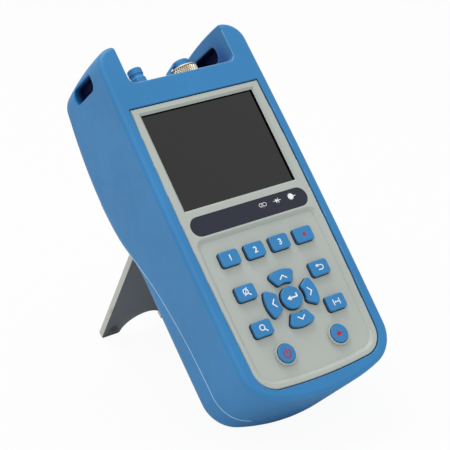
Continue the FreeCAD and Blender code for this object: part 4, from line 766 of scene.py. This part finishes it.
def level(outline, z):
    """An outline put at one height."""
    return [Vector((*place, z)) for place in outline]


PANEL_WALL_LOW, PANEL_WALL_HIGH = -4 * MM, -0.3 * MM
panel_edge = outline_of("front_panel", PANEL_WALL_LOW, PANEL_WALL_HIGH)
print("outline of the panel:", len(panel_edge), "places")

# %% [markdown]
# The panel sits in an opening of the front shell with a little play. On most sides the play shows
# as a dark gap, and a black ribbon at the gap's floor is a painted shadow there; along the left
# side a seal in the casing's blue fills it. Two ribbons just under the front make them: one at the
# gap's floor and one at the seal's face.

# %% Gap round the panel and its seal
GAP_WIDE = 0.45 * MM
GAP_FLOOR = -0.8 * MM
SEAL_LEVEL = -0.2 * MM
SEAL_UNDER_PANEL = 0.15 * MM
SEAL_UNDER_SHELL = 0.1 * MM
SEAL_SIDE, SEAL_TOP = -38 * MM, 174 * MM


def beside_keys(place):
    """True along the left side of the panel, where the seal fills the gap."""
    return place.x < SEAL_SIDE and place.y < SEAL_TOP


gap = bmesh.new()
ribbon(gap, level(panel_edge, GAP_FLOOR), level(grown(panel_edge, GAP_WIDE), GAP_FLOOR),
       lambda place: not beside_keys(place))
# A painted shadow: a near-black ribbon at the floor of the gap.
gap_shadow_black = surface("gap_shadow", linear(8, 14, 34), 0.9, drift=0.1, specular=0.1)
new_piece("panel_gap_shadow", gap, gap_shadow_black, "casing")
seal = bmesh.new()
ribbon(seal, level(grown(panel_edge, -SEAL_UNDER_PANEL), SEAL_LEVEL),
       level(grown(panel_edge, GAP_WIDE + SEAL_UNDER_SHELL), SEAL_LEVEL), beside_keys)
new_piece("panel_seal", seal, rubber_blue, "casing")
print("gap:", round(GAP_WIDE / MM, 2), "mm wide,", round(-GAP_FLOOR / MM, 2), "mm deep")

# %% [markdown]
# The opening's rounded edge turns through every angle, so somewhere on it the light always
# glints. A tube as thin as a hair, half sunk into the round, makes that line on the sides
# where the gap shows.

# %% Shine on the opening's edge
SHINE_OUT = 0.42 * MM
SHINE_LEVEL = 0.36 * MM
SHINE_RADIUS = 0.1 * MM
shine_line = level(grown(panel_edge, GAP_WIDE + SHINE_OUT), SHINE_LEVEL)
first = next(i for i, place in enumerate(shine_line) if beside_keys(place)
             and not beside_keys(shine_line[(i + 1) % len(shine_line)]))
bright = [place for place in shine_line[first + 1:] + shine_line[:first + 1]
          if not beside_keys(place)]
shine = bmesh.new()
tube(shine, bright, SHINE_RADIUS)
new_piece("opening_edge_shine", shine,
          surface("edge_shine", linear(128, 182, 218), 0.35, drift=0.15),
          "casing")
print("shine:", len(bright), "places")

# %% [markdown]
# The screen's glass sits deep in its opening. A black foam lip covers the walls below the opening's
# slope; its black is also a painted shade for the shadow that falls on those walls.

# %% Black lip in the screen's opening
GLASS_LOW, GLASS_HIGH = lying_box("screen_glass")
GLASS_HIDDEN = 1.4 * MM
FOAM_PLAY = 0.06 * MM
FOAM_TOP = -1.25 * MM
FOAM_WIDE = 0.3 * MM


def in_glass(inset, z):
    """The glass's outline, moved in by inset, at one height."""
    low, high = GLASS_LOW.xy + Vector((inset, inset)), GLASS_HIGH.xy - Vector((inset, inset))
    return [Vector((x, y, z)) for x, y in (low, (high.x, low.y), high, (low.x, high.y))]


foam_lip = bmesh.new()
wall_inset = GLASS_HIDDEN + FOAM_PLAY
foam_foot = GLASS_HIGH.z + FOAM_PLAY
ribbon(foam_lip, in_glass(wall_inset, FOAM_TOP), in_glass(wall_inset, GLASS_HIGH.z))
ribbon(foam_lip, in_glass(wall_inset, foam_foot), in_glass(GLASS_HIDDEN + FOAM_WIDE, foam_foot))
# Black foam that also paints the shade on the walls of the opening.
foam_shade_black = surface("lip_foam_shade", linear(6, 6, 8), 0.95, drift=0.1, specular=0.05)
new_piece("screen_foam_lip", foam_lip, foam_shade_black, "casing")
print("glass:", [round(v / MM, 2) for v in GLASS_HIGH - GLASS_LOW], "mm, its face",
      round(-GLASS_HIGH.z / MM, 2), "mm deep")

# %% [markdown]
# Where the two shells meet, the front one ends in a fine lip, and its pale colour is a painted
# highlight along it. The
# joint bends over the casing, so rays are cast at the flank and halved between the two
# shells until they find it. The places are then smoothed, as a moulded line is.

# %% Lip along the joint of the two shells
SHELLS = ("front_shell", "back_shell")
DEEPEST, SHALLOWEST = -0.085, -0.02
HALVINGS = 16
LIP_ABOVE_JOINT = 0.3 * MM
LIP_PROUD = 0.06 * MM
LIP_RADIUS = 0.2 * MM
END_CENTRE = Vector((0, 45 * MM))
HIGHEST = 150 * MM
FAR_OUT = 80 * MM
FLANK_STEPS = 90
END_STEPS = 40
LIP_END = math.radians(52)
SMOOTHING_ROUNDS = 6


def shell_hit(start, inwards, z):
    """The shell that a level ray meets first on the lying casing, and where."""
    origin = STANDING @ Vector((*start, z))
    way = STANDING.to_3x3() @ Vector((*inwards, 0))
    found = []
    for name in SHELLS:
        hit, place, _, _ = frame["nodes"][name].ray_cast(origin, way)
        if hit:
            found.append(((place - origin).length, name, place))
    return min(found) if found else None


def joint_place(start, inwards):
    """The place on the joint of the shells under a level ray, found by halving its height."""
    below, above = DEEPEST, SHALLOWEST
    for _ in range(HALVINGS):
        z = (below + above) / 2
        hit = shell_hit(start, inwards, z)
        if hit and hit[1] == "front_shell":
            above = z
        else:
            below = z
    found = LYING @ shell_hit(start, inwards, above + LIP_ABOVE_JOINT)[2]
    return found - Vector((*inwards, 0)) * LIP_PROUD


rays = [(Vector((-FAR_OUT, HIGHEST + (END_CENTRE.y - HIGHEST) * i / FLANK_STEPS)),
         Vector((1, 0))) for i in range(FLANK_STEPS)]
for i in range(END_STEPS + 1):
    turn = math.pi + LIP_END * i / END_STEPS
    outwards = Vector((math.cos(turn), math.sin(turn)))
    rays.append((END_CENTRE + outwards * FAR_OUT, -outwards))
lip_places = [joint_place(start, inwards) for start, inwards in rays]
for _ in range(SMOOTHING_ROUNDS):
    for i in range(1, len(lip_places) - 1):
        lip_places[i].z = (lip_places[i - 1].z + 2 * lip_places[i].z + lip_places[i + 1].z) / 4
lip = bmesh.new()
tube(lip, lip_places, LIP_RADIUS)
tube(lip, [Vector((-place.x, place.y, place.z)) for place in lip_places], LIP_RADIUS)
# Painted highlight: the lip is the casing's blue, coloured pale where it catches the light.
new_piece("shell_lip", lip, surface("lip_highlight", linear(176, 212, 232), 0.35, drift=0.08),
          "casing")
print("lip:", len(lip_places), "places, at its ends z =", round(lip_places[0].z / MM, 1), "mm")

# %% [markdown]
# The mould of the front shell closes along the rounded rim of the connector bay and leaves a fine
# raised line there; its pale colour is a painted highlight, where the light picks out the rim.

# %% Mould line round the bay
BAY_CORNER = 4 * MM
BAY_LIP = 190 * MM
FACE_LEVEL = 0.5 * MM
SHOULDER = 0.35 * MM
EAR_FRONT_TOP = 209 * MM
EAR_STEPS, EAR_STEP = 5, 3 * MM
CORNER_STEPS, CORNER_STEP = 7, math.radians(12)
MOULD_LINE_RADIUS = 0.13 * MM
line_half = BAY_HALF + SHOULDER
line_foot = BAY_LIP - SHOULDER
corner = BAY_CORNER + SHOULDER
right_side = [Vector((line_half, EAR_FRONT_TOP - i * EAR_STEP)) for i in range(EAR_STEPS)]
right_side += [Vector((line_half - corner + corner * math.cos(CORNER_STEP * i),
                       line_foot + corner - corner * math.sin(CORNER_STEP * i)))
               for i in range(1, CORNER_STEPS + 1)]
left_side = [Vector((-place.x, place.y)) for place in reversed(right_side)]
mould_line = level(right_side + left_side, FACE_LEVEL - SHOULDER)
rim = bmesh.new()
tube(rim, mould_line, MOULD_LINE_RADIUS)
# Painted highlight: the mould line is coloured pale where the rim catches the light.
new_piece("bay_mould_line", rim,
          surface("mould_line_highlight", linear(138, 188, 220), 0.4, drift=0.2),
          "casing")
print("mould line:", len(mould_line), "places")

# %% [markdown]
# Each ear has a slot for a hand strap. A rubber sleeve lines it, so that the webbing doesn't chafe
# on hard plastic. Two thin lips meet across the sleeve: a strap pushes them apart, and without a
# strap they keep the slot closed. The sleeve is blue at its mouth and is painted nearly black
# inside the ear, a painted shade where no light comes.

# %% Section of a strap slot
SLOT_START = Vector((0, 202.4, -13.8)) * MM
SLOT_WAY = Vector((0, 3.2, -27)) * MM
SLOT_HALF = 4.7 * MM
SLOT_ROUND = 4.2 * MM
SLEEVE_PLAY = 0.08 * MM
SLEEVE_WALL = 0.35 * MM
LIP_SLIT = 0.06 * MM
LIP_PLACE = 40.0 * MM
LIP_THICK = 0.6 * MM
SLEEVE_INNER, SLEEVE_OUTER = 35.0 * MM, 45.9 * MM
BLUE_AT, NAVY_AT = 46, 41.5
ROUND_STEPS, ROUND_STEP = 7, 15


def slot_place(u, v, x):
    """A place in the slot: u along its section from its front end, v across it."""
    place = SLOT_START + SLOT_WAY.normalized() * u
    return Vector((x, place.y + v, place.z))


def slot_ring(inset, x, side=None):
    """Places round the slot's section, or round its upper or lower side, moved in by inset."""
    length = SLOT_WAY.length
    bend = SLOT_ROUND - inset
    middle_v = SLOT_HALF - inset - bend
    places = []
    for way, turns in ((1, (0, 90)), (-1, (180, 270))):
        if side in (None, way):
            for start, u in zip(turns, (length - inset - bend, inset + bend)[::way]):
                for i in range(ROUND_STEPS):
                    turn = math.radians(start + ROUND_STEP * i)
                    places.append(slot_place(u + bend * math.cos(turn),
                                             way * middle_v + bend * math.sin(turn), x))
    if side:
        ends = (inset, length - inset)[::side]
        places += [slot_place(u, side * LIP_SLIT, x) for u in ends]
    return places


print("slot:", round(2 * SLOT_HALF / MM, 1), "mm high")

# %% [markdown]
# The sleeve is a closed loop of four rings: its outer wall, its mouth, its inner wall and
# its inner end. Each lip is one face, extruded to the rubber's thickness.

# %% Sleeves
sleeve_finish = surface("sleeve_rubber", linear(24, 92, 150), 0.8, drift=0.1, specular=0.15)
sleeve_tree = sleeve_finish.node_tree
sleeve_places = object_places(sleeve_tree)
# Painted shade: the sleeve goes from blue at the ear's outer face to nearly black inside.
ear_shade_share = product(sleeve_tree, *[
    along_casing(sleeve_tree, sleeve_places, (1, 0, 0), side * BLUE_AT, side * NAVY_AT)
    for side in (1, -1)])
repainted(sleeve_finish, ear_shade_share, linear(3, 14, 56))
SLEEVE_INSET = SLEEVE_PLAY + SLEEVE_WALL
for side, name in ((-1, "left"), (1, "right")):
    sleeve = bmesh.new()
    join_rings(sleeve, [[sleeve.verts.new(place) for place in slot_ring(inset, side * x)]
                        for inset, x in ((SLEEVE_PLAY, SLEEVE_INNER), (SLEEVE_PLAY, SLEEVE_OUTER),
                                         (SLEEVE_INSET, SLEEVE_OUTER),
                                         (SLEEVE_INSET, SLEEVE_INNER))], closed=True)
    for half in (1, -1):
        lip_half = sleeve.faces.new([sleeve.verts.new(place) for place in slot_ring(
            SLEEVE_INSET, side * LIP_PLACE, half)])
        thick = bmesh.ops.extrude_face_region(sleeve, geom=[lip_half])
        bmesh.ops.translate(sleeve, vec=(side * LIP_THICK, 0, 0),
                            verts=[item for item in thick["geom"]
                                   if isinstance(item, bmesh.types.BMVert)])
    bmesh.ops.recalc_face_normals(sleeve, faces=sleeve.faces)
    new_piece("slot_sleeve_" + name, sleeve, sleeve_finish, "casing")
print("sleeves:", round((SLEEVE_OUTER - SLEEVE_INNER) / MM, 1), "mm long")

# %% [markdown]
# The nut of the test connector is gripped by hand, so its side is knurled: two families of
# grooves cross and leave small pyramids. A grid of points does it, with every other point
# raised: each raised point is a peak and its four neighbours lie in the grooves.

# %% Knurled nut
NUT_LOW, NUT_HIGH = lying_box("knurled_nut")
NUT_MIDDLE = (NUT_LOW + NUT_HIGH) / 2
NUT_RADIUS = (NUT_HIGH.x - NUT_LOW.x) / 2
NUT_LONG = NUT_HIGH.y - NUT_LOW.y
PEAKS_ROUND = 36
KNURL_HIGH = 0.5 * MM
BORE_RADIUS = 7.05 * MM
BORE_CHAMFER = 0.3 * MM
END_RIM = 1.0 * MM
RIM_LOWER = 0.15 * MM
RIM_ROLL = 0.6 * MM
RIM_FROM, RIM_TO = 0.7 * END_RIM, 0.3 * END_RIM
ROW_STEP = math.pi * NUT_RADIUS / PEAKS_ROUND
rows = 2 * int((NUT_LONG - 2 * END_RIM) / ROW_STEP / 2)
row_high = (NUT_LONG - 2 * END_RIM) / rows
columns = 2 * PEAKS_ROUND
nut = bmesh.new()


def nut_ring(along_nut, radii):
    """A ring of vertices round the nut's axis, each with its own radius."""
    ring = []
    for i, radius in enumerate(radii):
        turn = 2 * math.pi * i / columns
        ring.append(nut.verts.new((NUT_MIDDLE.x + radius * math.cos(turn), NUT_LOW.y + along_nut,
                                   NUT_MIDDLE.z - radius * math.sin(turn))))
    return ring


grid = [nut_ring(END_RIM + j * row_high,
                 [NUT_RADIUS if (i + j) % 2 == 0 and 0 < j < rows else NUT_RADIUS - KNURL_HIGH
                  for i in range(columns)]) for j in range(rows + 1)]
for j in range(rows):
    for i in range(columns):
        a, b = grid[j][i], grid[j][(i + 1) % columns]
        c, d = grid[j + 1][(i + 1) % columns], grid[j + 1][i]
        if (i + j) % 2 == 0:
            nut.faces.new((a, b, d))
            nut.faces.new((b, c, d))
        else:
            nut.faces.new((a, b, c))
            nut.faces.new((a, c, d))


print("knurl:", rows, "rows of", PEAKS_ROUND, "peaks, each", round(row_high * 2 / MM, 2),
      "mm long")

# %% [markdown]
# Both ends of the nut close in the same way, as a lathe turns them: a plain rim, a rolled
# edge, a flat face and a chamfer into the bore.

# %% Ends of the nut
def nut_end(edge_ring, sign, end):
    """Closes one end of the nut: a plain rim, a face with a rolled edge, and the bore."""
    steps = [(end - sign * RIM_FROM, NUT_RADIUS - RIM_LOWER),
             (end - sign * RIM_TO, NUT_RADIUS - RIM_LOWER),
             (end, NUT_RADIUS - RIM_ROLL),
             (end, BORE_RADIUS + BORE_CHAMFER),
             (end - sign * BORE_CHAMFER, BORE_RADIUS)]
    rings = [edge_ring] + [nut_ring(along_nut, [radius] * columns) for along_nut, radius in steps]
    join_rings(nut, rings)
    return rings[-1]


join_rings(nut, [nut_end(grid[0], -1, 0), nut_end(grid[-1], 1, NUT_LONG)])
bmesh.ops.recalc_face_normals(nut, faces=nut.faces)
print("nut:", round(NUT_LONG / MM, 1), "mm long,", len(nut.faces), "faces")

# %% [markdown]
# The knurl's grooves are painted darker than its peaks. The distance from the nut's axis tells the
# two apart: the part of a point's place that is square to the axis is the length of its cross
# product with the axis.

# %% Metal of the nut
GROOVE_DARK = linear(96, 80, 52)
PALE_BELOW_PEAK = 0.34 * MM
nut_metal = surface("nut_metal", linear(248, 238, 210), 0.42, drift=0.03, metallic=0.55)
nut_tree = nut_metal.node_tree
away = made(nut_tree, "VectorMath", (object_places(nut_tree), STANDING @ NUT_MIDDLE),
            operation="SUBTRACT")
across = made(nut_tree, "VectorMath",
              (away.outputs["Vector"], STANDING.to_3x3() @ Vector(UP_THE_CASING)),
              operation="CROSS_PRODUCT")
from_axis = made(nut_tree, "VectorMath", (across.outputs["Vector"],), operation="LENGTH")
# The grooves are painted darker than the peaks.
repainted(nut_metal, ramp(nut_tree, from_axis.outputs["Value"], NUT_RADIUS - PALE_BELOW_PEAK,
                          NUT_RADIUS - KNURL_HIGH), GROOVE_DARK)
knurled = new_piece("knurled_grip", nut, nut_metal, "nut")
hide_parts("knurled_nut")
print("dirt up to", round((KNURL_HIGH - PALE_BELOW_PEAK) / MM, 2), "mm from the grooves' floor")

# %% [markdown]
# The stand is a moulded plate of light grey plastic. A moulded edge is never sharp: even hard
# plastic has a small radius there, and that radius catches the light. So its long edges are rolled.
# Its broad faces are painted a dark grey, a painted shade, and all that isn't one of its broad
# faces gets the paler grey of the plastic itself.

# %% Stand
SHARP = math.radians(40)
CREASE = math.radians(35)
STAND_ROLL, ROLL_STEPS = 0.35 * MM, 2
SHORT_EDGE = 2 * MM
BROAD_SHARE = 0.85
stand = whole_faces("kickstand")
sharp = [edge for edge in stand.edges if len(edge.link_faces) == 2
         and edge.calc_face_angle() > SHARP and edge.calc_length() > SHORT_EDGE]
bmesh.ops.bevel(stand, geom=sharp, offset=STAND_ROLL, segments=ROLL_STEPS, profile=0.5,
                affect="EDGES", material=-1, clamp_overlap=True)
for face in stand.faces:
    face.smooth = True
for edge in stand.edges:
    if len(edge.link_faces) == 2 and edge.calc_face_angle() > CREASE:
        edge.smooth = False
stand_plate = new_piece("stand_plate", stand, stand_shade_grey, "stand")
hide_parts("kickstand")
stand_plate.data.materials.append(surface("stand_light", linear(186, 190, 180), 0.5, drift=0.03))
broad = max(stand_plate.data.polygons, key=lambda face: face.area).normal.copy()
for face in stand_plate.data.polygons:
    if abs(face.normal.dot(broad)) < BROAD_SHARE:
        face.material_index = 1
print("stand edges rolled:", len(sharp))

# %% [markdown]
# The stand's outer face has two long ribs against bending, and a block of short ones to
# pull it open by. They are drawn on the folded stand of the lying casing, then swung open
# with it: the hinge's range tells how far.

# %% Ribs on the stand
FOLD = math.radians(JOINTS["stand_hinge"]["range_deg"][0])
STAND_THICK = 4.0 * MM
OPEN_STAND = (STANDING @ Matrix.Translation(HINGE_LYING)
              @ Matrix.Rotation(-FOLD, 4, "X") @ Matrix.Translation(-HINGE_LYING))
RIB_HIGH = 0.5 * MM
RIB_SUNK = 0.05 * MM
RIB_ROLL = ((0.0, 0.6), (0.12, 0.9), (0.3, 1.0))
LONG_RIBS_AT, LONG_RIB_ENDS, LONG_RIB_WIDE = (-19, 19), (42, 120), 2.0
SHORT_RIBS_AT, SHORT_RIB_HALF, SHORT_RIB_WIDE = (48, 52, 56, 60), 9, 1.6
OUTER_FACE = HINGE_LYING.z - STAND_THICK / 2


def rib(builder, start, end, width):
    """A rib with round ends on the stand's outer face, its top edge rolled."""
    way = (Vector(end) - Vector(start)).normalized()
    turn = math.degrees(math.atan2(way.y, way.x))
    outline = (around(*end, width / 2, turn - 90, turn + 90, 8)
               + around(*start, width / 2, turn + 90, turn + 270, 8))
    middle = Vector((sum(x for x, _ in outline), sum(y for _, y in outline))) / len(outline)
    rings = [[builder.verts.new((x * MM, y * MM, OUTER_FACE + RIB_SUNK)) for x, y in outline]]
    for inset, rise in RIB_ROLL:
        rings.append([])
        for x, y in outline:
            pulled = Vector((x, y)) + (middle - Vector((x, y))).normalized() * inset * width / 2
            rings[-1].append(builder.verts.new((pulled.x * MM, pulled.y * MM,
                                                OUTER_FACE - RIB_HIGH * rise)))
    join_rings(builder, rings)
    builder.faces.new(rings[0])
    builder.faces.new(rings[-1])


ribs = bmesh.new()
for x in LONG_RIBS_AT:
    rib(ribs, (x, LONG_RIB_ENDS[0]), (x, LONG_RIB_ENDS[1]), LONG_RIB_WIDE)
for y in SHORT_RIBS_AT:
    rib(ribs, (-SHORT_RIB_HALF, y), (SHORT_RIB_HALF, y), SHORT_RIB_WIDE)
bmesh.ops.recalc_face_normals(ribs, faces=ribs.faces)
new_piece("stand_ribs", ribs, stand_shade_grey, "stand", OPEN_STAND)
print("stand swings", round(-math.degrees(FOLD), 1), "degrees; ribs", RIB_HIGH / MM, "mm high")

# %% [markdown]
# Real tools get knocked. A few tiny pale nicks stand in a loose line on the bridge above
# the screen, and some more are scattered over it. The seed gives the same nicks each run.

# %% Nicks in the paint
NICK_SEED = 7
NICK_CORNERS = 7
NICK_LINE = [(1.2, 187.6), (0.7, 186.0), (0.2, 184.3), (-0.1, 182.4), (-0.4, 180.4),
             (-0.6, 178.2), (-0.7, 176.9)]
LINE_SIZES, LOOSE_SIZES = (0.07, 0.16), (0.05, 0.11)
BRIDGE_WIDE, BRIDGE_HIGH, LOOSE_NICKS = (-38, 38), (177, 188), 9
chance = random.Random(NICK_SEED)
spots = [(x, y, chance.uniform(*LINE_SIZES)) for x, y in NICK_LINE]
spots += [(chance.uniform(*BRIDGE_WIDE), chance.uniform(*BRIDGE_HIGH),
           chance.uniform(*LOOSE_SIZES)) for _ in range(LOOSE_NICKS)]
nicks = bmesh.new()
for x, y, radius in spots:
    squeeze = chance.uniform(0.5, 1.0)
    turn = chance.uniform(0, math.pi)
    outline = []
    for i in range(NICK_CORNERS):
        part = 2 * math.pi * i / NICK_CORNERS
        long, short = radius * math.cos(part), radius * squeeze * math.sin(part)
        outline.append((x + long * math.cos(turn) - short * math.sin(turn),
                        y + long * math.sin(turn) + short * math.cos(turn)))
    filled(nicks, outline)
print_mark("paint_nicks", nicks, Vector((0, 0, FACE_LEVEL)),
           surface("nick_pale", linear(150, 190, 214), 0.6, drift=0.15),
           "casing")
print("nicks:", len(spots))
